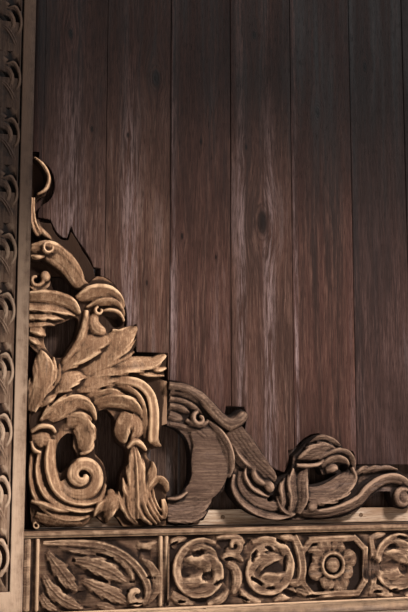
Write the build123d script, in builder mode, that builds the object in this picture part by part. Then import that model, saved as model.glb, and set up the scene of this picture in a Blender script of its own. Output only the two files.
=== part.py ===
from build123d import *
from math import cos, pi, radians, sin
import os

# Carved temple door: a plank leaf that turns on its own wooden pivots in a
# heavy timber frame. Openwork scrolls fill the leaf's lower hinge corner, the
# left and right jambs carry a running vine, and the high sill is carved with
# scrolls and a rosette.
# The origin is the middle of the footprint on the floor, +Z is up, +X runs
# along the door and -Y faces the viewer. All sizes are in millimetres.

# Frame
frame_depth = 150.0
jamb_width = 130.0
opening_height = 1800.0
lintel_height = 130.0
base_height = 40.0
rail_height = 175.0
tenon_width = 60.0
tenon_depth = 50.0
tenon_length = 25.0
tenon_clearance = 0.3
stop_width = 15.0
stop_clearance = 1.0
edge_round = 3.0

# Leaf
leaf_gap = 3.0
stile_width = 31.0
plank_widths = [131.0, 139.0, 135.0, 142.0, 145.0, 137.0, 125.0]
plank_seam = 0.8
plank_thickness = 22.0
back_board_thickness = 16.0
cut_margin = 1.0
ledge_height = 29.0
batten_height = 95.0
batten_thickness = 24.0
batten_start = 95.0
batten_end = 25.0
batten_chamfer = 6.0
batten_levels = [0.17, 0.55, 0.93]
pivot_radius = 12.0
socket_depth = 25.0
pivot_clearance = 0.3

# Openwork carving in the leaf's lower corner
carving_ground = 36.0
relief_step = 13.0
crown_step = 7.0
crown_share = 0.5
crown_from = 18.0
flats_per_span = 2
knob_flats = 12
carving_clearance = 0.3
stile_notch = 10.0
joint_gap = 0.3
joint_at = 268.0
wave_joint_at = 412.0

# Sunk vine on the jambs
fillet_width = 24.0
vine_ground = 11.0
vine_relief = 8.0
vine_pitch = 115.0
vine_swing = 22.0
vine_stem = 10.0
vine_steps = 4

# Carved front of the sill
rail_set_back = 17.0
rail_thickness = 44.0
rail_ground = 13.0
rail_relief = 7.0
rail_crown = 3.5
rail_top_border = 13.0
rail_bottom_border = 25.0
rail_crown_from = 12.0
bead_width = 6.0
rosette_dome = 15.0
rosette_ring = 27.0
rosette_ring_width = 5.0
rosette_flats = 16
petal_count = 8
rosette_frame = (150.0, 126.0)
rosette_frame_cut = 34.0
rosette_frame_width = 7.0

# Wooden dowels that show in the leaf's ledge
dowel_radius = 4.5
dowel_clearance = 0.1
dowel_length = 14.0
dowel_proud = 0.6
dowel_places = [393.0, 707.0]

# Places worked out from the sizes above
leaf_width = stile_width + sum(plank_widths)
opening_width = leaf_width + 2 * leaf_gap
sill_top = base_height + rail_height
lintel_bottom = sill_top + opening_height
front = -frame_depth / 2
back = frame_depth / 2
opening_left = -opening_width / 2
opening_right = opening_width / 2
frame_half = opening_width / 2 + jamb_width
leaf_left = opening_left + leaf_gap
leaf_bottom = sill_top + leaf_gap
leaf_top = lintel_bottom - leaf_gap
leaf_height = leaf_top - leaf_bottom
plank_front = 0.0
plank_back = plank_front + plank_thickness
leaf_thickness = plank_thickness + back_board_thickness
leaf_back = plank_front + leaf_thickness
stile_round = leaf_thickness / 2
pivot_x = leaf_left + stile_round
pivot_y = plank_front + leaf_thickness / 2
planks_left = leaf_left + stile_width
pivot_length = leaf_gap + socket_depth - pivot_clearance

# The carving is drawn from the seam between the stile and the first plank,
# 8 mm to the right of zero, and from the top of the sill.
first_seam = 8.0
drawing_left = planks_left - first_seam
carving_depth = carving_ground + relief_step + crown_step


def drawing_plane(depth):
    """Upright plane at a depth, facing the viewer, in the carving's drawing."""
    return Plane(origin=(drawing_left, depth, sill_top), x_dir=(1, 0, 0), z_dir=(0, -1, 0))


def closed_outline(runs):
    """Face inside an outline of runs. A run ends where the next one begins: one
    point makes a straight side, more points make a curve cut in short flats."""
    corners = []
    for number, run in enumerate(runs):
        points = run + [runs[(number + 1) % len(runs)][0]]
        corners.append(points[0])
        if len(points) > 2:
            with BuildLine() as curve:
                Spline(*points)
            flats = flats_per_span * (len(points) - 1)
            corners += [curve.line @ (flat / flats) for flat in range(1, flats)]
    with BuildSketch(Plane.XY) as face:
        with BuildLine():
            Polyline(*corners, close=True)
        make_face()
    return face.sketch


def strap(path, widths, share=1.0):
    """Face of a strap along a curve, with its widths spread evenly over it. Its
    sides are cut in short flats, as many as the path has points."""
    with BuildLine() as spine:
        Spline(*path)
    flats = len(path)
    left_side = []
    right_side = []
    for flat in range(flats + 1):
        along = flat / flats
        place = along * (len(widths) - 1)
        first = min(int(place), len(widths) - 2)
        width = widths[first] + (widths[first + 1] - widths[first]) * (place - first)
        centre = spine.line @ along
        tangent = spine.line % along
        across = Vector(-tangent.Y, tangent.X) * (share * width / 2)
        left_side.append(centre + across)
        right_side.append(centre - across)
    with BuildSketch(Plane.XY) as face:
        with BuildLine():
            Polyline(*left_side, *reversed(right_side), close=True)
        make_face()
    return face.sketch


def spiral(centre, radius, end_radius, angle, end_angle, points=9):
    """Points of a spiral, from one radius and angle to another, in degrees."""
    places = []
    for number in range(points):
        along = number / (points - 1)
        reach = radius + (end_radius - radius) * along
        turn = radians(angle + (end_angle - angle) * along)
        places.append((centre[0] + reach * cos(turn), centre[1] + reach * sin(turn)))
    return places


def knob(centre, radius):
    """Face of a boss, cut round in flats."""
    with BuildSketch(Plane.XY) as face:
        with Locations(centre):
            RegularPolygon(radius, knob_flats)
    return face.sketch


# Outlines and straps of the carving, as (across, up) in its drawing. Each
# outline runs clockwise from its upper left.
left_outline = [
    [(-20, 738), (-4, 720), (12, 704), (20, 684)],
    [(14, 659), (-2, 650), (-8, 630)],
    [(-5, 606), (12, 604)],
    [(26, 604), (32, 588), (46, 573)],
    [(61, 571)],
    [(67, 590), (82, 568), (92, 551), (104, 534), (113, 518)],
    [(119, 499), (136, 497), (156, 482), (171, 458), (176, 430)],
    [(177, 390), (192, 396)],
    [(205, 404), (197, 386)],
    [(189, 376), (203, 366), (190, 345)],
    [(180, 328), (212, 328), (236, 336)],
    [(250, 348), (263, 342), (266, 326)],
    [(257, 313), (262, 303)],
    [(250, 296)],
    [(joint_at - joint_gap / 2, 291)],
    [(joint_at - joint_gap / 2, 205), (252, 198), (246, 180)],
    [(252, 158)],
    [(226, 152), (227, 138), (237, 128), (238, 112)],
    [(236, 99), (255, 99)],
    [(joint_at - joint_gap / 2, 86)],
    [(joint_at - joint_gap / 2, 3)],
    [(178, 3), (168, 18), (158, 24), (149, 18)],
    [(143, 8), (130, 18), (121, 26), (108, 12)],
    [(94, 4)],
    [(30, 4), (10, 12)],
    [(-2, 5), (-7, 60), (-8, 140), (-11, 205)],
    [(-13, 292), (2, 302), (8, 318), (4, 336)],
    [(-8, 348), (-17, 362)],
    [(-16, 398)],
    [(-20, 402)],
]
left_holes = [
    [[(25, 496), (55, 494), (75, 478)], [(86, 466), (62, 454), (38, 460)]],
    [[(18, 392), (45, 399), (80, 412), (74, 370)], [(50, 332), (32, 335), (15, 360)]],
    [[(78, 183), (62, 183), (48, 168), (42, 140), (50, 108), (64, 118), (84, 138), (76, 160)]],
    [[(124, 228), (142, 231), (158, 214), (160, 190)],
     [(166, 168), (184, 152), (184, 130), (172, 104), (168, 76)],
     [(152, 63), (143, 74), (144, 100), (136, 128)],
     [(121, 143)],
     [(119, 200)]],
]
arch_outline = [
    [(joint_at + joint_gap / 2, 291), (302, 287), (330, 274), (353, 254), (375, 231)],
    [(392, 219), (410, 226), (427, 237), (438, 230), (437, 214), (424, 206)],
    [(wave_joint_at - joint_gap / 2, 203)],
    [(wave_joint_at - joint_gap / 2, 111), (398, 100)],
    [(394, 84), (388, 70)],
    [(376, 64), (372, 56)],
    [(362, 57), (362, 42)],
    [(354, 24), (345, 12)],
    [(336, 15), (322, 4)],
    [(296, 3), (284, 3)],
    [(joint_at + joint_gap / 2, 8)],
    [(joint_at + joint_gap / 2, 62), (292, 60), (310, 74), (319, 112), (314, 166), (294, 191)],
    [(joint_at + joint_gap / 2, 202)],
]
wave_outline = [
    [(wave_joint_at + joint_gap / 2, 203), (422, 194), (444, 162), (474, 124), (504, 96)],
    [(530, 104), (541, 120)],
    [(545, 141), (562, 156), (586, 178), (610, 183), (636, 167)],
    [(656, 147), (674, 136)],
    [(685, 112), (698, 121)],
    [(713, 118), (730, 122)],
    [(748, 118), (768, 121), (790, 113), (812, 93), (830, 66), (826, 38)],
    [(800, 28), (781, 35), (772, 52)],
    [(770, 66), (742, 66), (720, 52)],
    [(690, 24), (640, 12), (560, 9), (490, 12), (440, 29), (407, 61), (402, 88)],
    [(wave_joint_at + joint_gap / 2, 111)],
]
wave_holes = [
    [[(562, 98), (574, 119), (600, 119)], [(612, 102), (646, 105), (612, 88), (576, 82)]],
]

left_straps = [
    ([(-12, 728), (5, 712), (13, 690), (8, 668), (-10, 657)], [6, 10, 13, 12, 6]),
    ([(-13, 645), (-14, 615), (-9, 590), (5, 572)], [12, 11, 14, 16]),
    ([(-14, 548), (14, 545), (42, 534), (62, 516), (78, 492), (86, 474)], [18, 28, 30, 28, 22, 12]),
    (spiral((-5, 484), 14, 6, 20, -250, 6), [9, 8, 6]),
    ([(-18, 453), (10, 453), (40, 449), (65, 440), (83, 425)], [14, 17, 19, 17, 5]),
    ([(-18, 434), (10, 433), (45, 428), (76, 418)], [12, 12, 11, 4]),
    ([(-18, 417), (5, 417), (30, 415), (50, 410)], [12, 13, 12, 5]),
    ([(74, 457), (98, 465), (128, 474), (152, 466), (169, 444)], [9, 24, 26, 22, 8]),
    ([(90, 439), (115, 444), (140, 450), (160, 444), (172, 426)], [8, 12, 13, 11, 6]),
    ([(124, 424), (118, 404), (128, 388), (146, 382), (168, 388)], [12, 16, 16, 14, 10]),
    ([(96, 424), (94, 400), (84, 370), (66, 340), (50, 318)], [10, 13, 15, 13, 8]),
    ([(50, 314), (76, 332), (104, 350), (138, 370)], [8, 30, 40, 8]),
    ([(104, 308), (134, 328), (166, 360), (201, 398)], [8, 28, 40, 6]),
    ([(148, 338), (172, 350), (196, 361)], [14, 20, 6]),
    ([(64, 284), (110, 299), (160, 313), (215, 314), (244, 324), (256, 340)], [8, 22, 25, 20, 17, 10]),
    ([(94, 264), (130, 280), (160, 291), (184, 298)], [8, 18, 15, 4]),
    ([(22, 264), (50, 278), (78, 289), (97, 296)], [8, 20, 17, 5]),
    ([(2, 252), (12, 280), (24, 304), (20, 334)], [20, 28, 26, 8]),
    ([(8, 208), (16, 236), (37, 260)], [9, 18, 5]),
    ([(22, 216), (55, 231), (85, 234), (104, 218), (108, 195), (104, 168), (92, 150)],
     [14, 24, 27, 27, 25, 20, 10]),
    ([(0, 186), (18, 182), (36, 172), (40, 160)], [12, 22, 18, 8]),
    (spiral((92, 102), 54, 44, 195, 400), [14, 18, 20, 20]),
    (spiral((92, 102), 44, 8, 40, 460, 12), [20, 16, 14, 12, 10]),
    ([(32, 140), (22, 110), (27, 80), (45, 56), (72, 42), (104, 38), (122, 44)], [8, 13, 14, 13, 12, 10, 6]),
    ([(8, 148), (3, 110), (9, 74), (30, 44), (60, 24), (92, 18), (112, 24)], [8, 14, 15, 15, 13, 11, 6]),
    ([(132, 268), (178, 282), (216, 275), (237, 246), (241, 210), (240, 170)], [8, 16, 18, 20, 20, 20]),
    ([(82, 244), (120, 256), (156, 262), (184, 256)], [7, 13, 13, 5]),
    ([(116, 240), (150, 248), (184, 243), (204, 228), (211, 217)], [7, 15, 17, 13, 5]),
    ([(192, 258), (214, 240), (222, 212), (222, 180)], [8, 13, 14, 13]),
    ([(180, 220), (183, 204), (187, 186), (184, 169)], [12, 32, 42, 16]),
    ([(204, 62), (204, 92), (202, 122), (199, 148), (196, 163)], [34, 50, 38, 24, 6]),
    ([(206, 60), (210, 40), (224, 18), (244, 5)], [7, 8, 8, 5]),
    ([(219, 62), (223, 44), (236, 22), (256, 7)], [7, 8, 8, 5]),
    ([(232, 60), (237, 82), (250, 93), (262, 86)], [8, 11, 10, 6]),
    ([(232, 58), (237, 44), (248, 26), (264, 14)], [7, 8, 8, 5]),
    ([(190, 72), (184, 50), (190, 26), (208, 6)], [14, 18, 16, 7]),
    ([(168, 58), (148, 46), (138, 28), (142, 14)], [16, 34, 28, 6]),
]
left_knobs = [((13, 492), 10), ((16, 546), 7), ((5, 16), 6)]
arch_straps = [
    ([(274, 281), (302, 275), (332, 260), (356, 238), (380, 216), (406, 205)], [13, 15, 17, 19, 19, 16]),
    ([(274, 266), (302, 260), (330, 247), (346, 238)], [7, 8, 8, 5]),
    ([(274, 253), (298, 248), (324, 236)], [7, 8, 5]),
    ([(274, 240), (292, 236), (312, 226)], [6, 7, 4]),
    (spiral((331, 218), 14, 5, 60, 380, 8), [8, 7, 5]),
    ([(374, 196), (392, 170), (403, 140), (405, 116)], [10, 17, 15, 9]),
    ([(278, 46), (302, 34), (330, 31), (352, 38)], [16, 40, 44, 16]),
]
arch_knobs = [((426, 222), 11)]
wave_straps = [
    ([(418, 186), (438, 156), (463, 126), (489, 102)], [8, 14, 16, 12]),
    ([(414, 100), (411, 78), (428, 50), (462, 28), (500, 20), (540, 22)], [8, 13, 15, 15, 13, 8]),
    ([(434, 122), (430, 96), (443, 69), (468, 50), (498, 40), (520, 44)], [8, 12, 14, 14, 12, 7]),
    ([(450, 116), (452, 94), (468, 80), (486, 82)], [8, 11, 11, 8]),
    ([(536, 44), (542, 70), (544, 96), (553, 128)], [26, 32, 25, 10]),
    ([(554, 140), (576, 150), (606, 158), (638, 150), (660, 140)], [9, 18, 19, 14, 6]),
    ([(574, 160), (595, 170), (614, 170), (632, 157)], [5, 8, 8, 5]),
    (spiral((661, 118), 14, 14, 190, -80, 7), [8, 10, 11, 8]),
    ([(568, 62), (602, 60), (640, 70), (668, 86), (688, 104)], [22, 34, 34, 26, 10]),
    ([(548, 26), (600, 24), (650, 30), (690, 46), (716, 70), (746, 88), (782, 94), (808, 78), (818, 54)],
     [9, 13, 15, 16, 17, 18, 18, 16, 10]),
    ([(694, 108), (722, 112), (756, 112), (786, 108)], [6, 9, 8, 4]),
]
wave_knobs = [((488, 68), 12), ((582, 38), 10), ((796, 50), 18)]

# Cut-out scribed in the planks round the carving, as (across, up).
scribed_edge = [
    [(-40, 750)],
    [(0, 750)],
    [(0, 730), (14, 726), (28, 708), (33, 684), (27, 658)],
    [(10, 642), (2, 630)],
    [(1, 615)],
    [(26, 612), (34, 594), (46, 580)],
    [(60, 576)],
    [(68, 602), (88, 566), (103, 546)],
    [(115, 520)],
    [(130, 518)],
    [(130, 503), (150, 494), (168, 474), (181, 448)],
    [(184, 394)],
    [(207, 408)],
    [(207, 350)],
    [(274, 350)],
    [(274, 294), (304, 290), (332, 278), (356, 255), (378, 230)],
    [(398, 223)],
    [(401, 243)],
    [(441, 243), (446, 215), (442, 192), (466, 154), (500, 120)],
    [(530, 107), (539, 120)],
    [(540, 153)],
    [(552, 155), (580, 181), (610, 190), (640, 172)],
    [(668, 152)],
    [(690, 153), (696, 140)],
    [(690, 124)],
    [(870, 124)],
    [(870, -10)],
    [(-40, -10)],
]

# Leaves that curl off the vine's stem, as (across, up) from the jamb's middle.
vine_paths = [
    ([(-4, 34), (18, 50), (32, 36), (18, 24)], [6, 13, 11, 5]),
    ([(4, 92), (-18, 108), (-32, 94), (-18, 82)], [6, 13, 11, 5]),
]

# Straps and beads of the sill's front, drawn below the carving's zero, and the
# rosette between them.
rail_paths = [
    ([(30, -30), (100, -26), (150, -35), (190, -58), (214, -88), (222, -116)], [7, 11, 14, 14, 11, 8]),
    (spiral((196, -128), 22, 5, 20, -330, 9), [9, 9, 7]),
    ([(44, -50), (90, -64), (140, -84), (182, -104)], [12, 26, 24, 6]),
    ([(24, -76), (70, -92), (120, -112), (160, -128)], [12, 24, 22, 6]),
    ([(20, -108), (52, -122), (90, -134), (130, -142)], [10, 20, 16, 5]),
    (spiral((330, -85), 54, 16, 60, 480, 11), [8, 12, 11, 7]),
    ([(322, -50), (338, -64), (336, -86)], [12, 20, 8]),
    ([(290, -104), (312, -96), (330, -100)], [8, 16, 8]),
    (spiral((396, -36), 12, 4, 200, 470, 6), [7, 6, 4]),
    (spiral((465, -82), 54, 16, 120, -300, 11), [8, 12, 11, 7]),
    ([(470, -48), (456, -64), (462, -88)], [12, 20, 8]),
    ([(505, -106), (484, -98), (466, -104)], [8, 16, 8]),
    ([(524, -28), (534, -60), (536, -96), (524, -122)], [7, 9, 9, 7]),
    (spiral((768, -82), 54, 16, 60, 480, 11), [8, 12, 11, 7]),
    ([(762, -48), (776, -64), (772, -88)], [12, 20, 8]),
    ([(728, -106), (750, -98), (768, -104)], [8, 16, 8]),
    (spiral((892, -86), 50, 14, 120, -300, 11), [8, 12, 11, 7]),
    ([(896, -54), (884, -68), (890, -90)], [12, 18, 8]),
]
bead_places = [5.0, 14.0, 246.0, 255.0, 700.0, 832.0, 954.0]
rosette_centre = (618, -80)
petal_path = [(24, 0), (44, 0), (60, 0)]
petal_widths = [16, 28, 18]

# Seams between the back boards that show through the openwork, as (across).
back_board_slit = 4.5
back_board_seams = [122.0, 305.5, 489.0, 672.0, 855.0]

os.makedirs("parts", exist_ok=True)

# Base sill: the frame stands on it, and the jambs are tenoned into it.
with BuildPart() as base_sill:
    with BuildSketch(Plane.XY):
        Rectangle(2 * frame_half, frame_depth)
    extrude(amount=base_height)
    chamfer(base_sill.edges().filter_by(Axis.X).group_by(Axis.Z)[-1], edge_round)
    with BuildSketch(Plane.XY.offset(base_height)):
        with Locations((-frame_half + jamb_width / 2, 0), (frame_half - jamb_width / 2, 0)):
            Rectangle(tenon_width + 2 * tenon_clearance, tenon_depth + 2 * tenon_clearance)
    extrude(amount=-tenon_length - tenon_clearance, mode=Mode.SUBTRACT)
base_sill.part.label = "base_sill"
export_step(base_sill.part, "parts/base_sill.step")

# Threshold: the plain beam behind the carved front. The leaf's lower pivot
# turns in its socket.
with BuildPart() as threshold:
    with BuildSketch(Plane.XY.offset(base_height)):
        with Locations((0, (front + rail_set_back + rail_thickness + back) / 2)):
            Rectangle(opening_width, frame_depth - rail_set_back - rail_thickness)
    extrude(amount=rail_height)
    with BuildSketch(Plane.XY.offset(sill_top)):
        with Locations((pivot_x, pivot_y)):
            Circle(pivot_radius + pivot_clearance)
    extrude(amount=-socket_depth, mode=Mode.SUBTRACT)
threshold.part.label = "threshold"
export_step(threshold.part, "parts/threshold.step")

# Lintel: it sits on the jambs' tenons and holds the upper pivot. Its front
# lip stops the leaf.
with BuildPart() as lintel:
    with BuildSketch(Plane.XY.offset(lintel_bottom)):
        Rectangle(2 * frame_half, frame_depth)
    extrude(amount=lintel_height)
    chamfer(lintel.edges().filter_by(Axis.X).group_by(Axis.Z)[-1], edge_round)
    with BuildSketch(Plane.XY.offset(lintel_bottom)):
        with Locations((-frame_half + jamb_width / 2, 0), (frame_half - jamb_width / 2, 0)):
            Rectangle(tenon_width + 2 * tenon_clearance, tenon_depth + 2 * tenon_clearance)
    extrude(amount=tenon_length + tenon_clearance, mode=Mode.SUBTRACT)
    with BuildSketch(Plane.XY.offset(lintel_bottom)):
        with Locations((pivot_x, pivot_y)):
            Circle(pivot_radius + pivot_clearance)
    extrude(amount=socket_depth, mode=Mode.SUBTRACT)
    with BuildSketch(Plane.XY.offset(lintel_bottom)):
        with Locations((0, (front + plank_front - stop_clearance) / 2)):
            Rectangle(opening_width, plank_front - stop_clearance - front)
    extrude(amount=-stop_width)
lintel.part.label = "lintel"
export_step(lintel.part, "parts/lintel.step")


def vine_plane(middle, depth):
    """Upright plane at a depth, centred on a jamb at the base sill's top."""
    return Plane(origin=(middle, depth, base_height), x_dir=(1, 0, 0), z_dir=(0, -1, 0))


def vine_unit():
    """Face of one wave of the vine: the stem and the leaves that curl off it."""
    stem = []
    for number in range(vine_steps + 1):
        up = vine_pitch * number / vine_steps
        stem.append((-vine_swing * sin(2 * pi * up / vine_pitch), up))
    with BuildSketch(Plane.XY) as face:
        add(strap(stem, [vine_stem, vine_stem]))
        for path, widths in vine_paths:
            add(strap(path, widths))
    return face.sketch


vine_wave = vine_unit()
jamb_height = lintel_bottom - base_height
vine_count = int((jamb_height - 2 * fillet_width) / vine_pitch)
vine_start = (jamb_height - vine_count * vine_pitch) / 2
vine_places = [(0, vine_start + number * vine_pitch) for number in range(vine_count)]
vine_front = front + vine_ground


# Left jamb: a sunk vine runs up its face between two fillets.
left_middle = -opening_width / 2 - jamb_width / 2
with BuildPart() as jamb_left:
    with BuildSketch(Plane.XY.offset(base_height)):
        with Locations((left_middle, 0)):
            Rectangle(jamb_width, frame_depth)
    extrude(amount=jamb_height)
    with BuildSketch(Plane.XY.offset(base_height - tenon_length)):
        with Locations((left_middle, 0)):
            Rectangle(tenon_width, tenon_depth)
    extrude(amount=jamb_height + 2 * tenon_length)
    with BuildSketch(vine_plane(left_middle, front)):
        with Locations((0, jamb_height / 2)):
            Rectangle(jamb_width - 2 * fillet_width, vine_count * vine_pitch)
    extrude(amount=-vine_ground, mode=Mode.SUBTRACT)
    with BuildSketch(vine_plane(left_middle, vine_front)):
        with Locations(*vine_places):
            add(vine_wave)
    extrude(amount=vine_relief)
jamb_left.part.label = "jamb_left"
export_step(jamb_left.part, "parts/jamb_left.step")

# The right jamb mirrors the left one and has a lip that the leaf shuts on.
with BuildPart() as jamb_right:
    mirror(jamb_left.part, about=Plane.YZ)
    with BuildSketch(Plane.XY.offset(sill_top)):
        with Locations((opening_right - stop_width / 2, (front + plank_front - stop_clearance) / 2)):
            Rectangle(stop_width, plank_front - stop_clearance - front)
    extrude(amount=opening_height - stop_width)
jamb_right.part.label = "jamb_right"
export_step(jamb_right.part, "parts/jamb_right.step")

petal = strap(petal_path, petal_widths)
panel_bottom = -rail_height + rail_bottom_border
panel_middle = (panel_bottom - rail_top_border) / 2
panel_height = -rail_top_border - panel_bottom
with BuildPart() as carved_sill_rail:
    with BuildSketch(Plane.XY.offset(base_height)):
        with Locations((0, front + rail_set_back + rail_thickness / 2)):
            Rectangle(opening_width, rail_thickness)
    extrude(amount=rail_height)
    with BuildSketch(drawing_plane(front + rail_set_back)):
        with Locations((-drawing_left, panel_middle)):
            Rectangle(opening_width, panel_height)
    extrude(amount=-rail_ground, mode=Mode.SUBTRACT)
    with BuildSketch(drawing_plane(front + rail_set_back + rail_ground)):
        for path, widths in rail_paths:
            add(strap(path, widths))
        for place in bead_places:
            with Locations((place, panel_middle)):
                Rectangle(bead_width, panel_height)
        with Locations(rosette_centre):
            with PolarLocations(0, petal_count):
                add(petal)
            RegularPolygon(rosette_ring, rosette_flats)
            RegularPolygon(rosette_ring - rosette_ring_width, rosette_flats, mode=Mode.SUBTRACT)
            RegularPolygon(rosette_dome, rosette_flats)
    extrude(amount=rail_relief)
    with BuildSketch(drawing_plane(front + rail_set_back + rail_ground - rail_relief)):
        for path, widths in rail_paths:
            if max(widths) > rail_crown_from:
                add(strap(path, widths, crown_share))
        with Locations(rosette_centre):
            RegularPolygon(crown_share * rosette_dome, rosette_flats)
    extrude(amount=rail_crown)
    with BuildSketch(drawing_plane(front + rail_set_back + rail_ground)):
        with Locations(rosette_centre):
            Rectangle(*rosette_frame)
            chamfer(vertices(), rosette_frame_cut)
            offset(amount=-rosette_frame_width, mode=Mode.SUBTRACT)
    extrude(amount=rail_relief)
carved_sill_rail.part.label = "carved_sill_rail"
export_step(carved_sill_rail.part, "parts/carved_sill_rail.step")

# Hanging stile: its back edge is rounded so that it turns beside the jamb,
# and its ends are cut down to the two pivots.
with BuildPart() as cut_out:
    with BuildSketch(drawing_plane(plank_back)):
        add(closed_outline(scribed_edge))
    extrude(amount=plank_thickness + cut_margin)

with BuildPart() as hanging_stile:
    with BuildSketch(Plane.XY.offset(leaf_bottom)):
        with Locations((pivot_x, pivot_y)):
            Circle(stile_round)
        with Locations(((pivot_x + planks_left) / 2, pivot_y)):
            Rectangle(planks_left - pivot_x, leaf_thickness)
        with Locations((planks_left + stile_round / 2, pivot_y)):
            Rectangle(stile_round, leaf_thickness, mode=Mode.SUBTRACT)
    extrude(amount=leaf_height)
    with BuildSketch(Plane.XY.offset(leaf_bottom)):
        with Locations((pivot_x, pivot_y)):
            Circle(pivot_radius)
    extrude(amount=-pivot_length)
    with BuildSketch(Plane.XY.offset(leaf_top)):
        with Locations((pivot_x, pivot_y)):
            Circle(pivot_radius)
    extrude(amount=pivot_length)
    with BuildSketch(drawing_plane(plank_front + stile_notch)):
        add(closed_outline(scribed_edge))
    extrude(amount=stile_notch, mode=Mode.SUBTRACT)
hanging_stile.part.label = "hanging_stile"
export_step(hanging_stile.part, "parts/hanging_stile.step")

# Planks, each cut to the scribed edge round the carving.
plank_left = planks_left
for number, width in enumerate(plank_widths, start=1):
    with BuildPart() as plank:
        with BuildSketch(Plane.XY.offset(leaf_bottom + ledge_height)):
            with Locations((plank_left + width / 2, (plank_front + plank_back) / 2)):
                Rectangle(width - plank_seam, plank_thickness)
        extrude(amount=leaf_height - ledge_height)
        add(cut_out.part, mode=Mode.SUBTRACT)
    plank.part.label = f"plank_{number}"
    export_step(plank.part, f"parts/plank_{number}.step")
    plank_left += width
leaf_right = plank_left

# Ledge: the leaf's bottom rail, with two dowels in it.
ledge_left = planks_left + plank_seam / 2
with BuildPart() as ledge:
    with BuildSketch(Plane.XY.offset(leaf_bottom)):
        with Locations(((ledge_left + leaf_right) / 2, (plank_front + plank_back) / 2)):
            Rectangle(leaf_right - ledge_left, plank_thickness)
    extrude(amount=ledge_height)
    with BuildSketch(drawing_plane(plank_front)):
        with Locations(*[(place, leaf_gap + ledge_height / 2) for place in dowel_places]):
            Circle(dowel_radius + dowel_clearance)
    extrude(amount=-dowel_length, mode=Mode.SUBTRACT)
ledge.part.label = "ledge"
export_step(ledge.part, "parts/ledge.step")

with BuildPart() as ledge_dowels:
    with BuildSketch(drawing_plane(plank_front + dowel_length)):
        with Locations(*[(place, leaf_gap + ledge_height / 2) for place in dowel_places]):
            Circle(dowel_radius)
    extrude(amount=dowel_length + dowel_proud)
ledge_dowels.part.label = "ledge_dowels"
export_step(ledge_dowels.part, "parts/ledge_dowels.step")

# Back boards: the leaf's second layer, which shows through the openwork.
board_edges = [first_seam + plank_seam / 2]
for seam in back_board_seams:
    board_edges += [seam - back_board_slit / 2, seam + back_board_slit / 2]
board_edges.append(leaf_right - drawing_left)
for number in range(len(board_edges) // 2):
    board_left = board_edges[2 * number]
    board_right = board_edges[2 * number + 1]
    with BuildPart() as back_board:
        with BuildSketch(Plane.XY.offset(leaf_bottom)):
            with Locations((drawing_left + (board_left + board_right) / 2,
                            (plank_back + leaf_back) / 2)):
                Rectangle(board_right - board_left, back_board_thickness)
        extrude(amount=leaf_height)
    back_board.part.label = f"back_board_{number + 1}"
    export_step(back_board.part, f"parts/back_board_{number + 1}.step")

# Battens across the back of the leaf. They start clear of the jamb, which
# they pass as the leaf opens.
batten_left = leaf_left + batten_start
batten_right = leaf_right - batten_end
for number, level in enumerate(batten_levels, start=1):
    with BuildPart() as batten:
        with BuildSketch(Plane.XY.offset(leaf_bottom + level * leaf_height - batten_height / 2)):
            with Locations(((batten_left + batten_right) / 2, leaf_back + batten_thickness / 2)):
                Rectangle(batten_right - batten_left, batten_thickness)
        extrude(amount=batten_height)
        chamfer(batten.edges().filter_by(Axis.X).group_by(Axis.Y)[-1], batten_chamfer)
    batten.part.label = f"batten_{number}"
    export_step(batten.part, f"parts/batten_{number}.step")


def carved_board(outline, holes, straps, knobs):
    """Openwork board: pierced ground, straps on it and a narrow crown on each strap."""
    with BuildPart() as board:
        with BuildSketch(drawing_plane(plank_back)):
            add(closed_outline(outline))
            for hole in holes:
                add(closed_outline(hole), mode=Mode.SUBTRACT)
        extrude(amount=carving_ground)
        with BuildSketch(drawing_plane(plank_back - carving_ground)):
            for path, widths in straps:
                add(strap(path, widths))
            for centre, radius in knobs:
                add(knob(centre, radius))
        extrude(amount=relief_step)
        with BuildSketch(drawing_plane(plank_back - carving_ground - relief_step)):
            for path, widths in straps:
                if max(widths) > crown_from:
                    add(strap(path, widths, crown_share))
            for centre, radius in knobs:
                add(knob(centre, crown_share * radius))
        extrude(amount=crown_step)
        with BuildSketch(Plane.XY.offset(sill_top)):
            with Locations((0, plank_front + carving_depth / 2 - carving_clearance)):
                Rectangle(opening_width, carving_depth)
        extrude(amount=leaf_gap + ledge_height + carving_clearance, mode=Mode.SUBTRACT)
        with BuildSketch(Plane.XY.offset(sill_top)):
            with Locations((planks_left - stile_width / 2 + carving_clearance,
                            stile_notch - carving_clearance + carving_depth / 2)):
                Rectangle(stile_width, carving_depth)
        extrude(amount=opening_height, mode=Mode.SUBTRACT)
    return board.part


carvings = {
    "left_carving": carved_board(left_outline, left_holes, left_straps, left_knobs),
    "arch_carving": carved_board(arch_outline, [], arch_straps, arch_knobs),
    "wave_carving": carved_board(wave_outline, wave_holes, wave_straps, wave_knobs),
}
for name, board in carvings.items():
    board.label = name
    export_step(board, f"parts/{name}.step")
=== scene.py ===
# %% [markdown]
# # A carved temple door
# An old plank leaf turns on wooden pivots in a heavy frame. Openwork scrolls
# fill the leaf's lower hinge corner, and the sill and the jambs are carved.
# The measured model comes first, as a fixed frame. Everything that is made
# here is set against it, in metres, and moves with one of its two bodies.

from math import cos, exp, floor, pi, radians, sin, sqrt

import bmesh
import bpy
import numpy as np
from mathutils import Matrix, Vector, kdtree, noise


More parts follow.
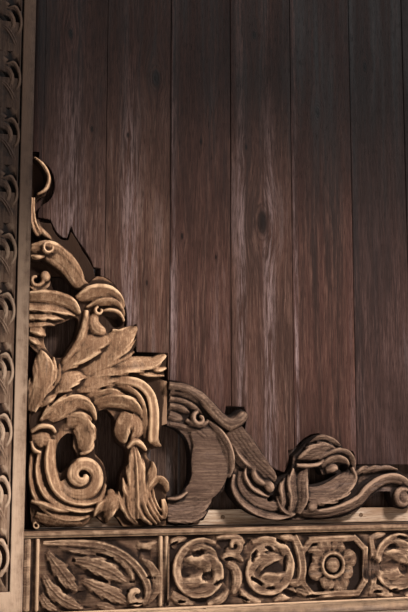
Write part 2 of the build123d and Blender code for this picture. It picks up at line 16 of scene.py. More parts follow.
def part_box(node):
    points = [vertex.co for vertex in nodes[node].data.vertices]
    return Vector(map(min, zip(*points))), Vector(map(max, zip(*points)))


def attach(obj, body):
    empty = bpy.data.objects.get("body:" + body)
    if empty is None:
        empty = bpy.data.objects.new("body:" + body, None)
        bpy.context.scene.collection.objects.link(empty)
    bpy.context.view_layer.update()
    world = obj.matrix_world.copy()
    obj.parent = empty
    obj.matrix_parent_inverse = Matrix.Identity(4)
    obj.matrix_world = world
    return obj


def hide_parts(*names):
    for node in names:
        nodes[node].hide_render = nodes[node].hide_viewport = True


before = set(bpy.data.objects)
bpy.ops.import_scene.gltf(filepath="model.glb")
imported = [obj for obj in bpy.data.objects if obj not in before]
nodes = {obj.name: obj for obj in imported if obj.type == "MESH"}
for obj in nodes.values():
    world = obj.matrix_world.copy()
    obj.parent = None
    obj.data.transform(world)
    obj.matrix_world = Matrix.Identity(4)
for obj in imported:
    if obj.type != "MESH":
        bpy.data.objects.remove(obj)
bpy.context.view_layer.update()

# %% [markdown]
# ## The camera
# The view is from left of the door, about two metres away, and it looks up a
# little. A long lens keeps the planks nearly parallel. Uprights could also be
# kept upright by shifting the lens. Here the turn and the tilt alone give the
# framing, so that the camera can be set up again from a few plain numbers.

# %% Camera
drawing_margin = 0.0084
drawing_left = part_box("plank_1")[0].x - drawing_margin
sill_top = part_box("threshold")[1].z
camera_left, camera_back, camera_up = 0.3878, 2.150, 0.1239
turn, tilt = radians(19.0), radians(8.2)
focal_length_px, picture_height_px, film_height = 1100, 612, 36
looking = Vector((sin(turn) * cos(tilt), cos(turn) * cos(tilt), sin(tilt)))
lens_data = bpy.data.cameras.new("photo_camera")
lens_data.lens = focal_length_px / picture_height_px * film_height
lens_data.sensor_width = film_height
camera = bpy.data.objects.new("photo_camera", lens_data)
camera.location = (drawing_left - camera_left, -camera_back, sill_top + camera_up)
camera.rotation_mode = "QUATERNION"
camera.rotation_quaternion = looking.to_track_quat("-Z", "Y")
bpy.context.collection.objects.link(camera)
bpy.context.scene.camera = camera
bpy.context.scene.view_settings.view_transform = "Standard"
print("lens", round(lens_data.lens, 1), "camera at", [round(c, 3) for c in camera.location])

# %% [markdown]
# ## Light
# Carving reads by its shadows. A sun lamp would draw them hard and black, and
# a world alone would draw none. So one lamp of 60 cm stands high in front, a
# large and weak one fills from the left, a third lights the back, and the
# world gives the rest, at a level where a colour renders about as it is
# written.

# %% Lamps and world


def add_lamp(name, place, aim, size, power):
    """A square soft lamp at a place, turned towards a point."""
    data = bpy.data.lights.new(name, "AREA")
    data.size = size
    data.energy = power
    lamp = bpy.data.objects.new(name, data)
    lamp.location = place
    lamp.rotation_mode = "QUATERNION"
    lamp.rotation_quaternion = (Vector(aim) - Vector(place)).to_track_quat("-Z", "Y")
    bpy.context.collection.objects.link(lamp)
    return lamp


add_lamp("key_lamp", (1.8, -2.3, 2.9), (-0.1, 0.0, 0.5), 0.6, 270)
add_lamp("fill_lamp", (-2.6, -2.8, 1.2), (-0.1, 0.0, 0.4), 2.4, 14)
add_lamp("back_lamp", (-1.5, 3.0, 3.0), (0.0, 0.0, 1.0), 2.0, 90)
world = bpy.data.worlds.new("studio")
world.use_nodes = True
world.node_tree.nodes["Background"].inputs["Color"].default_value = (1.0, 0.97, 0.93, 1)
world.node_tree.nodes["Background"].inputs["Strength"].default_value = 0.22
bpy.context.scene.world = world

# %% [markdown]
# ## Floor
# The door stands on a plain floor that takes its shadow. It is only a stage,
# so one grid of a single face is enough.

# %% Floor
floor_half = 9.0
floor_shape = bmesh.new()
bmesh.ops.create_grid(floor_shape, x_segments=1, y_segments=1, size=floor_half)
floor_mesh = bpy.data.meshes.new("floor")
floor_shape.to_mesh(floor_mesh)
floor_shape.free()
studio_floor = bpy.data.objects.new("floor", floor_mesh)
bpy.context.collection.objects.link(studio_floor)
print("floor", 2 * floor_half, "metres wide")

# %% [markdown]
# ## How the carving is drawn
# Acanthus carving is a set of gouge strokes. Each one follows a curve, swells
# and narrows, and stands higher or lower than its neighbours. It could be
# sculpted, but a sculpture can't be written down in a few numbers. So every
# stroke is drawn as a path with a few widths and heights, in millimetres:
# across, up, and out towards the viewer. These three helpers turn chosen
# points into smooth paths.

# %% Curves


def smooth(points, count):
    """Evenly counted points on a smooth curve through the given ones."""
    points = np.array(points, float)
    if points.ndim == 1:
        points = points[:, None]
    before = 2 * points[0] - points[1]
    after = 2 * points[-1] - points[-2]
    knots = np.vstack([before, points, after])
    place = np.linspace(0, len(points) - 1, count)
    first = np.minimum(place.astype(int), len(points) - 2)
    t = (place - first)[:, None]
    a, b, c, d = knots[first], knots[first + 1], knots[first + 2], knots[first + 3]
    return 0.5 * (2 * b + (c - a) * t + (2 * a - 5 * b + 4 * c - d) * t ** 2
                  + (3 * b - a - 3 * c + d) * t ** 3)


def even_line(points, count):
    """Points at even distances along a smooth curve."""
    dense = smooth(points, 24 * len(points))
    steps = np.linalg.norm(np.diff(dense, axis=0), axis=1)
    reach = np.concatenate([[0], np.cumsum(steps)])
    want = np.linspace(0, reach[-1], count)
    return np.stack([np.interp(want, reach, dense[:, k]) for k in range(2)], 1), reach[-1]


def spiral(centre, radius, end_radius, angle, end_angle, points=9):
    """Points of a spiral from one radius and angle to another, in degrees."""
    places = []
    for number in range(points):
        along = number / (points - 1)
        reach = radius + (end_radius - radius) * along
        turn = radians(angle + (end_angle - angle) * along)
        places.append((centre[0] + reach * cos(turn), centre[1] + reach * sin(turn)))
    return places


round_trip = even_line(spiral((0, 0), 10, 10, 0, 360), 2)[1]
print("a circle of 10 mm drawn this way is", round(round_trip, 1), "mm round")

# %% [markdown]
# ## Sections of a stroke
# A gouge leaves different backs: a round one, a flat one, a blade that falls
# from a raised edge to a low one, a leaf with a midrib, or twin ridges. Each
# back is a list of heights from the stroke's left side to its right, as
# shares of its full height, so that a new tool is one more line.

# %% Sections
sections = {
    "round": [0.72, 0.92, 0.98, 1.0, 0.98, 0.92, 0.72],
    "band": [0.86, 0.98, 1.0, 0.99, 0.97, 0.93, 0.8],
    "blade_left": [0.86, 1.0, 0.97, 0.92, 0.86, 0.8, 0.74, 0.67, 0.56],
    "blade_right": [0.56, 0.67, 0.74, 0.8, 0.86, 0.92, 0.97, 1.0, 0.86],
    "leaf": [0.66, 0.84, 0.9, 0.86, 0.82, 1.0, 0.82, 0.86, 0.9, 0.84, 0.66],
    "twin": [0.6, 0.9, 1.0, 0.9, 0.76, 0.9, 1.0, 0.9, 0.6],
    "flat": [0.9, 0.98, 0.99, 0.97, 0.96, 0.95, 0.96, 0.97, 0.99, 0.98, 0.9],
}
print("sections", sorted(sections))

# %% [markdown]
# ## One stroke
# The bar could be a curve object with a bevel, but that can't change its
# section or grow leaf lobes. Instead a grid is bent: its columns follow the
# path, its rows go over the back and return under the foot. It starts square,
# because it grows out of another stroke, and ends in a round cap. Lobes are
# saw teeth on its edges that lean to the tip, with a groove between them. Each
# point also remembers where the middle of its stroke is and which way is
# sideways, for the fine veins that are cut later.

# %% One stroke
top_rows = 18
thinnest = 1.0
groove_depth, groove_width = 0.16, 0.08


def add_stroke(shape, path, widths, levels, section="round", lobes=(0, 0), notch=0.3,
               skew=0.25, foot=-4.0, step=2.6):
    """A closed bar along a path. levels are its heights, lobes the counts of
    leaf lobes on its left and right edges, notch their depth, skew their
    lean, foot the height of its underside and step its spacing."""
    length = even_line(path, 2)[1]
    columns = max(10, int(length / step))
    line = even_line(path, columns + 1)[0]
    tangent = np.gradient(line, axis=0)
    tangent /= np.linalg.norm(tangent, axis=1)[:, None]
    wide = np.maximum(smooth(widths, columns + 1)[:, 0], thinnest)
    high = smooth(levels, columns + 1)[:, 0]
    profile = np.array(sections[section])
    rows = top_rows + 3
    layers = shape.verts.layers.float_vector
    middle_of = layers.get("middle") or layers.new("middle")
    sideways = layers.get("sideways") or layers.new("sideways")
    grid = bmesh.ops.create_grid(shape, x_segments=columns, y_segments=rows, size=1.0)
    for vert in grid["verts"]:
        column = round((vert.co.x + 1) / 2 * columns)
        row = round((vert.co.y + 1) / 2 * rows)
        under = top_rows < row < rows
        if under:
            side = -1.0 if row == top_rows + 1 else 1.0
        else:
            side = cos(pi * (row % rows) / top_rows)
        share = column / columns
        half = wide[column] / 2
        from_tip = (1 - share) * length
        cap = sqrt(max(0.04, 1 - max(0.0, 1 - from_tip / max(half, 1.0)) ** 2))
        height = high[column] * np.interp((1 - side) / 2 * (len(profile) - 1),
                                          range(len(profile)), profile)
        height *= 0.6 + 0.4 * cap
        reach = half * cap
        count = lobes[0] if side > 0 else lobes[1]
        if count:
            phase = count * (share - skew * abs(side))
            lobe = phase - floor(phase)
            near = min(lobe, 1 - lobe)
            reach *= 1 - notch * (1 - lobe ** 0.7) * side ** 2
            groove = exp(-(near / groove_width) ** 2) * side ** 2
            height -= groove_depth * high[column] * groove
        vert[middle_of] = (line[column][0], line[column][1], 0)
        if section != "flat":
            vert[sideways] = (-tangent[column][1], tangent[column][0], 0)
        across = Vector((-tangent[column][1], tangent[column][0])) * (side * reach)
        vert.co = (line[column][0] + across.x, line[column][1] + across.y,
                   foot if under else max(height, foot + 0.5))


def carve(strokes):
    """A new shape with these strokes on it."""
    shape = bmesh.new()
    for stroke in strokes:
        add_stroke(shape, *stroke)
    return shape


trial = carve([([(0, 0), (40, 0)], [20, 10], [12, 8], "leaf", (3, 3))])
print("a stroke of 40 mm has", len(trial.faces), "faces")
trial.free()

# %% [markdown]
# ## Bosses
# Eyes of scrolls and the middle of the rosette are round bosses. A sphere has
# the right roundness, and its lower half is pushed down to the foot, so that
# the boss stands on the wood and doesn't float in it.

# %% Bosses


def add_dome(shape, centre, radius, level, foot=-4.0, flatten=0.8):
    """A round boss, from a sphere whose lower half goes down to the foot."""
    ball = bmesh.ops.create_uvsphere(shape, u_segments=20, v_segments=12, radius=radius)
    for vert in ball["verts"]:
        rise = vert.co.z / radius
        vert.co.z = level - radius * flatten * (1 - rise) if rise > -0.3 else foot
        vert.co.x += centre[0]
        vert.co.y += centre[1]


trial = bmesh.new()
add_dome(trial, (0, 0), 12, 28)
print("a boss has", len(trial.faces), "faces")
trial.free()

# %% [markdown]
# ## A pierced board
# The strokes stand on a sawn board with openings. Cutting holes with a
# Boolean would be slow and leave slivers. Here the edge and the openings are
# drawn as rings, filled as one face set, and pushed back to the board's
# thickness. A ring is a list of runs: inside a run the line is smooth, and
# between two runs it has the sharp corner of a saw cut.

# %% A pierced board


def add_board(shape, outlines, front, back):
    """A board between two depths, with the first outline as its edge and the
    others as holes. An outline is a list of runs, each a smooth curve."""
    edges = []
    for runs in outlines:
        ring = []
        for number, run in enumerate(runs):
            points = run + [runs[(number + 1) % len(runs)][0]]
            if len(points) > 2:
                ring += [tuple(p) for p in smooth(points, 6 * len(points))[:-1]]
            else:
                ring.append(points[0])
        verts = [shape.verts.new((x, z, front)) for x, z in ring]
        edges += [shape.edges.new((verts[n - 1], verts[n])) for n in range(len(verts))]
    filled = bmesh.ops.triangle_fill(shape, edges=edges, use_beauty=True)["geom"]
    faces = [item for item in filled if isinstance(item, bmesh.types.BMFace)]
    pushed = bmesh.ops.extrude_face_region(shape, geom=faces)["geom"]
    bmesh.ops.translate(shape, verts=[v for v in pushed if isinstance(v, bmesh.types.BMVert)],
                        vec=(0, 0, back - front))


trial = bmesh.new()
add_board(trial, [[[(0, 0)], [(30, 0)], [(30, 20)], [(0, 20)]]], 10.0, 0.0)
print("a plain board has", len(trial.faces), "faces")
trial.free()

# %% [markdown]
# ## One skin round all strokes
# Where two strokes meet, a chisel leaves one sharp valley. Joining the bars by
# Boolean unions would take minutes, and they fail where faces lie in one
# plane. The voxel Remesh modifier takes all bars at once and gives one closed
# skin. Smooth takes the steps out of it, and Decimate thins the flat parts.
# A tree of the old points then tells each new point how far across its stroke
# it lies.

# %% Fusing strokes


def close_bars(shape):
    """Merges the seams of all bars and fills their ends."""
    bmesh.ops.remove_doubles(shape, verts=shape.verts, dist=0.02)
    open_edges = [edge for edge in shape.edges if edge.is_boundary]
    bmesh.ops.holes_fill(shape, edges=open_edges, sides=0)
    bmesh.ops.recalc_face_normals(shape, faces=shape.faces)


def store_across(bars, skin):
    """Gives each point of a skin its distance from its stroke's middle."""
    tree = kdtree.KDTree(len(bars.vertices))
    for vert in bars.vertices:
        tree.insert(vert.co, vert.index)
    tree.balance()
    middle = bars.attributes["middle"].data
    sideways = bars.attributes["sideways"].data
    across = []
    for vert in skin.vertices:
        nearest = tree.find(vert.co)[1]
        across.append((vert.co - middle[nearest].vector).dot(sideways[nearest].vector))
    skin.attributes.new("across", "FLOAT", "POINT").data.foreach_set("value", across)


def fuse(shape, name, voxel, rounds, limit=190000):
    """One closed skin round all bars, thinned to a triangle limit."""
    close_bars(shape)
    bars = bpy.data.meshes.new(name)
    shape.to_mesh(bars)
    shape.free()
    rough = bpy.data.objects.new(name, bars)
    bpy.context.collection.objects.link(rough)
    skin = rough.modifiers.new("skin", "REMESH")
    skin.mode = "VOXEL"
    skin.voxel_size = voxel
    soften = rough.modifiers.new("soften", "SMOOTH")
    soften.factor = 0.5
    soften.iterations = rounds
    graph = bpy.context.evaluated_depsgraph_get()
    triangles = 2 * len(rough.evaluated_get(graph).data.polygons)
    if triangles > limit:
        thin = rough.modifiers.new("thin", "DECIMATE")
        thin.ratio = limit / triangles
        graph = bpy.context.evaluated_depsgraph_get()
    fused = bpy.data.meshes.new_from_object(rough.evaluated_get(graph))
    store_across(bars, fused)
    bpy.data.objects.remove(rough)
    bpy.data.meshes.remove(bars)
    print(name, "skin of", triangles, "triangles, kept", len(fused.polygons))
    return fused


trial = fuse(carve([([(0, 0), (40, 0)], [20, 10], [12, 8])]), "trial", 1.5, 2)
bpy.data.meshes.remove(trial)

# %% [markdown]
# ## The marks of the tools
# A fused skin is too clean. An edge tool leaves shallow ripples and fine veins
# along each stroke, and a narrow gouge sinks steep little pits between the
# leaves. A bump in the material would only paint them, so the points of the
# skin itself are moved: along their normals for ripples and veins, and down
# to a given level for pits.

# %% Tool marks


def hand_cut(mesh, depth, size, vein=0.75, vein_gap=7.5):
    """Moves a skin in and out a little, as an edge tool leaves it, and cuts
    fine veins that run along each stroke."""
    moved = []
    across = mesh.attributes["across"].data
    for vert in mesh.vertices:
        ripple = noise.noise(vert.co / size) + 0.5 * noise.noise(vert.co / size * 2.7)
        swing = cos(2 * pi * across[vert.index].value / vein_gap + 2.0 * ripple)
        cut = vein * max(0.0, vert.normal.z) * (swing ** 3 if swing < 0 else 0.4 * swing)
        moved.extend(vert.co + vert.normal * (depth * ripple + cut))
    mesh.vertices.foreach_set("co", moved)
    mesh.update()


def pit(across, up, length, width, lean):
    """A short cut round a middle point, as a path and its widths."""
    half = max(length - width, 1.0) / 2
    step = (half * cos(radians(lean)), half * sin(radians(lean)))
    return ([(across - step[0], up - step[1]), (across, up), (across + step[0], up + step[1])],
            [width * 0.7, width, width * 0.7])


def sink(mesh, cuts, ground):
    """Presses a skin down to a level inside each cut, with steep sides, as a
    gouge does. A cut is a path and its widths."""
    points = np.zeros(len(mesh.vertices) * 3)
    mesh.vertices.foreach_get("co", points)
    points = points.reshape(-1, 3)
    nearest = np.full(len(points), 9.0)
    for path, widths in cuts:
        count = max(4, int(even_line(path, 2)[1] / 1.5))
        reach = np.maximum(smooth(widths, count)[:, 0], 0.6) / 2
        for (x, z), half in zip(even_line(path, count)[0], reach):
            near = np.abs(points[:, 0] - x) < 2 * half
            far = np.hypot(points[near, 0] - x, points[near, 1] - z) / half
            nearest[near] = np.minimum(nearest[near], far)
    share = np.clip((nearest - 0.75) / 0.45, 0, 1)
    share = np.where(points[:, 2] > ground, share ** 2 * (3 - 2 * share), 1.0)
    points[:, 2] = ground + (points[:, 2] - ground) * share
    mesh.vertices.foreach_set("co", points.ravel())
    mesh.update()


print("a pit of 20 by 8 mm runs through", pit(0, 0, 20, 8, 0)[0])

# %% [markdown]
# ## Hollows and crests
# Dirt stays in the hollows of old carving and shade falls in them, so the
# hollows are painted dark, as dirt and painted shade. Hands and rain bleach its
# crests, and their paleness is also a painted highlight. Blender's own
# pointiness needs very dense meshes. So each piece gets a height map, its
# blurred copy is the surface round each point, and the difference is stored
# on the points as an attribute for the finishes.

# %% Hollows and crests


def mark_hollows(mesh, reach=0.0045, cell=0.0018, floor_depth=0.030):
    """Stores how far each point lies below the surface round it: 1 is a deep
    hollow and -1 a proud crest. The finishes read it for dirt and painted
    shade in the hollows, and for wear and a painted highlight on the crests."""
    border, blur = 8, 3
    points = np.zeros(len(mesh.vertices) * 3)
    mesh.vertices.foreach_get("co", points)
    points = points.reshape(-1, 3)
    across = ((points[:, 0] - points[:, 0].min()) / cell).astype(int) + border
    up = ((points[:, 2] - points[:, 2].min()) / cell).astype(int) + border
    out = -points[:, 1]
    lowest = out.max() - floor_depth
    heights = np.full((across.max() + border + 1, up.max() + border + 1), lowest)
    np.maximum.at(heights, (across, up), out)
    covered = (heights > lowest).astype(float)
    heights = (heights - lowest) * covered
    shifts = range(-blur, blur + 1)
    for axis in (0, 1, 0, 1):
        heights = sum(np.roll(heights, shift, axis) for shift in shifts) / len(shifts)
        covered = sum(np.roll(covered, shift, axis) for shift in shifts) / len(shifts)
    around = lowest + heights[across, up] / np.maximum(covered[across, up], 0.01)
    hollow = np.clip((around - out) / reach, -1, 1)
    attribute = mesh.attributes.new("hollow", "FLOAT", "POINT")
    attribute.data.foreach_set("value", hollow.astype(np.float32))
    deep = np.count_nonzero(hollow > 0.5)
    print(mesh.name, "has", deep, "points in hollows, of", len(points))

# %% [markdown]
# ## From a drawing to the door
# A drawing lies flat, in millimetres. A matrix stands it up on the sill's top
# and turns it into metres, and it is applied to the mesh, because a finished
# piece stays at the origin, unturned and unscaled.

# %% Placing a piece


def drawing_matrix(depth):
    """From a drawing in millimetres to the upright plane at a depth."""
    return (Matrix.Translation((drawing_left, depth, sill_top))
            @ Matrix.Rotation(pi / 2, 4, "X") @ Matrix.Scale(0.001, 4))


def place_piece(mesh, name, body, matrix=None):
    """Makes a finished mesh a piece that rides on a body."""
    if matrix is not None:
        mesh.transform(matrix)
    mesh.shade_smooth()
    piece = bpy.data.objects.new(name, mesh)
    bpy.context.collection.objects.link(piece)
    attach(piece, body)
    return piece


print("the drawing starts at", round(drawing_left, 4), "and stands at", round(sill_top, 4))

# %% [markdown]
# ## The hinge-side board
# The largest of the three openwork boards has a bulb and a neck at the top, a
# wing and a curled fold under them, long leaves that sweep up to the right,
# and a volute at the foot. Its edge and its four openings are drawn first.
# Many corners are straight saw cuts, so most runs are only one or two points.

# %% Outline of the hinge-side board
board_front = -4.0
carving_back = 22.0
left_outline = [
    [(-20, 738), (-4, 720), (12, 704), (20, 684)],
    [(14, 659), (-2, 650), (-8, 630)],
    [(-5, 606), (12, 604)],
    [(26, 604), (32, 588), (46, 573)],
    [(61, 571)],
    [(67, 590), (82, 568), (92, 551), (104, 534), (113, 518)],
    [(119, 499), (136, 497), (156, 482), (171, 458), (176, 430)],
    [(177, 390), (192, 396)],
    [(205, 404), (197, 386)],
    [(189, 376), (203, 366), (190, 345)],
    [(180, 328), (212, 328), (236, 336)],
    [(250, 348), (263, 342), (266, 326)],
    [(257, 313), (262, 303)],
    [(250, 296)],
    [(267.8, 291)],
    [(267.8, 205), (252, 198), (246, 180)],
    [(252, 158)],
    [(226, 152), (227, 138), (237, 128), (238, 112)],
    [(236, 99), (255, 99)],
    [(267.8, 86)],
    [(267.8, 3)],
    [(178, 3), (168, 18), (158, 24), (149, 18)],
    [(143, 8), (130, 18), (121, 26), (108, 12)],
    [(94, 4)],
    [(30, 4), (10, 12)],
    [(-2, 5), (-7, 60), (-8, 140), (-11, 205)],
    [(-13, 292), (2, 302), (8, 318), (4, 336)],
    [(-8, 348), (-17, 362)],
    [(-16, 398)],
    [(-20, 402)],
]
left_holes = [
    [[(25, 496), (55, 494), (75, 478)], [(86, 466), (62, 454), (38, 460)]],
    [[(18, 392), (45, 399), (80, 412), (74, 370)], [(50, 332), (32, 335), (15, 360)]],
    [[(78, 183), (62, 183), (48, 168), (42, 140), (50, 108), (64, 118), (84, 138), (76, 160)]],
    [[(124, 228), (142, 231), (158, 214), (160, 190)],
     [(166, 168), (184, 152), (184, 130), (172, 104), (168, 76)],
     [(152, 63), (143, 74), (144, 100), (136, 128)],
     [(121, 143)],
     [(119, 200)]],
]
print("the board's edge has", len(left_outline), "runs and", len(left_holes), "openings")

# %% [markdown]
# ## Its top: bulb, neck, wing and fold
# A stroke is its path, its widths, its heights, its section, and for a leaf
# the lobes of both edges with their depth and lean. Strokes that start at the
# board's left edge grow out of the jamb's shadow. The wing's feathers lie
# under each other, each a little lower than the one above it.

# %% Strokes of the top
top_strokes = [
    ([(-14, 732), (4, 716), (15, 692), (10, 668), (-8, 655)], [6, 9, 10, 10, 6],
     [22, 27, 29, 27, 20], "round"),
    ([(-15, 650), (-16, 620), (-11, 592), (2, 572)], [13, 13, 16, 18], [20, 25, 25, 18], "twin"),
    ([(-6, 606), (2, 588), (16, 574), (34, 560)], [10, 12, 12, 8], [14, 18, 17, 12], "round"),
    ([(-18, 544), (14, 543), (42, 529), (64, 508), (82, 482), (104, 474)], [20, 40, 42, 38, 30, 12],
     [27, 34, 35, 33, 30, 20], "blade_left"),
    (spiral((-5, 484), 15, 5, 30, -300, 8), [10, 10, 7], [22, 24, 25], "round"),
    (spiral((16, 547), 11, 8, 60, 400, 8), [7, 8, 7], [34, 37, 36], "round"),
    ([(-18, 530), (-4, 528), (12, 532)], [10, 12, 6], [22, 30, 26], "round"),
    ([(-18, 474), (-2, 466), (14, 472), (24, 486)], [10, 13, 12, 6], [20, 24, 22, 16], "blade_right"),
    ([(-18, 450), (12, 451), (42, 447), (66, 438), (85, 419)], [20, 26, 28, 24, 6],
     [25, 31, 32, 30, 22], "blade_left"),
    ([(-18, 430), (12, 429), (46, 426), (78, 416)], [18, 22, 20, 4], [21, 26, 26, 18],
     "blade_right", (0, 3), 0.36, 0.5),
    ([(-18, 412), (5, 414), (30, 415), (54, 408)], [18, 24, 22, 4], [18, 24, 24, 16],
     "blade_right", (0, 3), 0.36, 0.5),
    ([(-18, 396), (4, 400), (22, 401), (38, 395)], [14, 18, 14, 4], [16, 20, 19, 13],
     "blade_right"),
    ([(-14, 388), (4, 384), (20, 374)], [16, 22, 5], [18, 23, 15], "blade_right"),
    ([(-16, 372), (-4, 366), (10, 356)], [12, 18, 5], [16, 20, 14], "blade_right"),
    ([(76, 450), (104, 462), (134, 466), (158, 455), (174, 434)], [12, 30, 30, 24, 9],
     [22, 34, 35, 32, 23], "blade_left"),
    ([(98, 433), (122, 444), (148, 446), (166, 434), (175, 416)], [7, 15, 16, 13, 7],
     [18, 27, 30, 28, 21], "blade_left"),
    ([(128, 428), (146, 431), (163, 426), (176, 408)], [6, 9, 9, 6], [18, 25, 27, 21], "round"),
    (spiral((122, 428), 8, 5, 100, 420, 8), [6, 7, 6], [24, 27, 26], "round"),
    ([(116, 420), (111, 404), (118, 390), (138, 385)], [16, 26, 26, 18], [22, 30, 31, 26], "round"),
    ([(150, 388), (164, 386), (178, 392), (198, 402)], [10, 13, 10, 4], [22, 24, 20, 12],
     "blade_left"),
]
print("strokes at the top", len(top_strokes))

# %% [markdown]
# ## Its long leaves
# An acanthus leaf is a few broad blades with lobed edges that overlap like
# tiles. A blade is high on one edge and low on the other, so that the next
# one shows a clear step. Small blades between two large ones close the gaps.

# %% Strokes of the leaves
leaf_strokes = [
    ([(98, 428), (96, 402), (86, 370), (68, 340), (50, 318)], [11, 17, 19, 16, 9],
     [20, 27, 29, 27, 18], "round"),
    ([(48, 308), (76, 334), (106, 360), (148, 380)], [12, 46, 52, 24], [20, 31, 33, 24],
     "blade_right", (0, 2), 0.2),
    ([(96, 302), (130, 330), (162, 362), (203, 401)], [14, 52, 54, 8], [19, 28, 30, 20],
     "blade_right", (0, 4), 0.34, 0.5),
    ([(140, 328), (168, 338), (199, 350)], [14, 24, 4], [18, 26, 17], "blade_right"),
    ([(150, 344), (178, 360), (202, 377)], [14, 22, 4], [18, 27, 17], "blade_right"),
    ([(96, 296), (140, 309), (190, 320), (232, 326), (250, 336), (263, 346)],
     [14, 32, 36, 36, 28, 10], [18, 29, 31, 32, 31, 25], "blade_right", (0, 5), 0.36, 0.5),
    ([(196, 312), (230, 307), (263, 302)], [14, 18, 4], [18, 26, 18], "blade_right"),
    ([(226, 318), (248, 316), (266, 319)], [10, 16, 5], [20, 29, 20], "blade_right"),
    ([(62, 262), (100, 278), (140, 294), (188, 298)], [14, 38, 34, 6], [18, 28, 29, 18],
     "blade_right", (0, 4), 0.36, 0.5),
    ([(84, 266), (112, 268), (141, 273)], [12, 18, 4], [18, 25, 18], "blade_right"),
    ([(120, 282), (144, 282), (167, 288)], [12, 16, 4], [18, 26, 18], "blade_right"),
    ([(28, 262), (56, 282), (80, 294), (100, 297)], [16, 40, 34, 6], [20, 32, 33, 22],
     "blade_right", (0, 3), 0.36, 0.5),
    ([(44, 258), (60, 262), (77, 270)], [12, 16, 4], [20, 28, 20], "blade_right"),
    ([(6, 238), (22, 252), (43, 264)], [14, 24, 5], [20, 30, 20], "blade_right"),
    ([(-8, 226), (2, 262), (14, 298), (8, 346)], [22, 46, 56, 10], [20, 30, 31, 20], "blade_right",
     (2, 4), 0.32, 0.5),
    ([(12, 286), (28, 310), (33, 335)], [14, 20, 4], [20, 29, 19], "blade_right"),
    ([(18, 266), (36, 292), (45, 322)], [14, 20, 4], [20, 28, 18], "blade_right"),
    ([(12, 204), (38, 226), (72, 244), (98, 240), (112, 224), (120, 208)],
     [18, 38, 42, 34, 22, 6], [18, 29, 33, 33, 30, 22], "blade_left", (4, 0), 0.3, 0.5),
    ([(62, 208), (86, 208), (98, 190), (100, 170), (92, 148)], [26, 42, 42, 36, 16],
     [20, 28, 31, 30, 24], "blade_left", (3, 0), 0.3, 0.4),
    ([(96, 204), (110, 194), (120, 178)], [12, 16, 4], [24, 30, 21], "blade_left"),
    ([(112, 176), (113, 160), (104, 149), (88, 143)], [6, 9, 9, 6], [20, 26, 26, 20], "round"),
    ([(-8, 186), (10, 197), (30, 196), (42, 184)], [8, 10, 10, 6], [20, 28, 28, 18], "round"),
    ([(-6, 172), (14, 172), (34, 164)], [26, 36, 14], [16, 20, 16], "round"),
    ([(-8, 168), (-2, 152), (14, 146)], [7, 9, 6], [20, 26, 20], "round"),
]
print("strokes of the leaves", len(leaf_strokes))

# %% [markdown]
# ## Its volute and foot
# The volute is one spiral stroke that rises to its eye. Three long blades run
# round it, and a standing leaf and a bundle of stems fill the corner towards
# the next board.

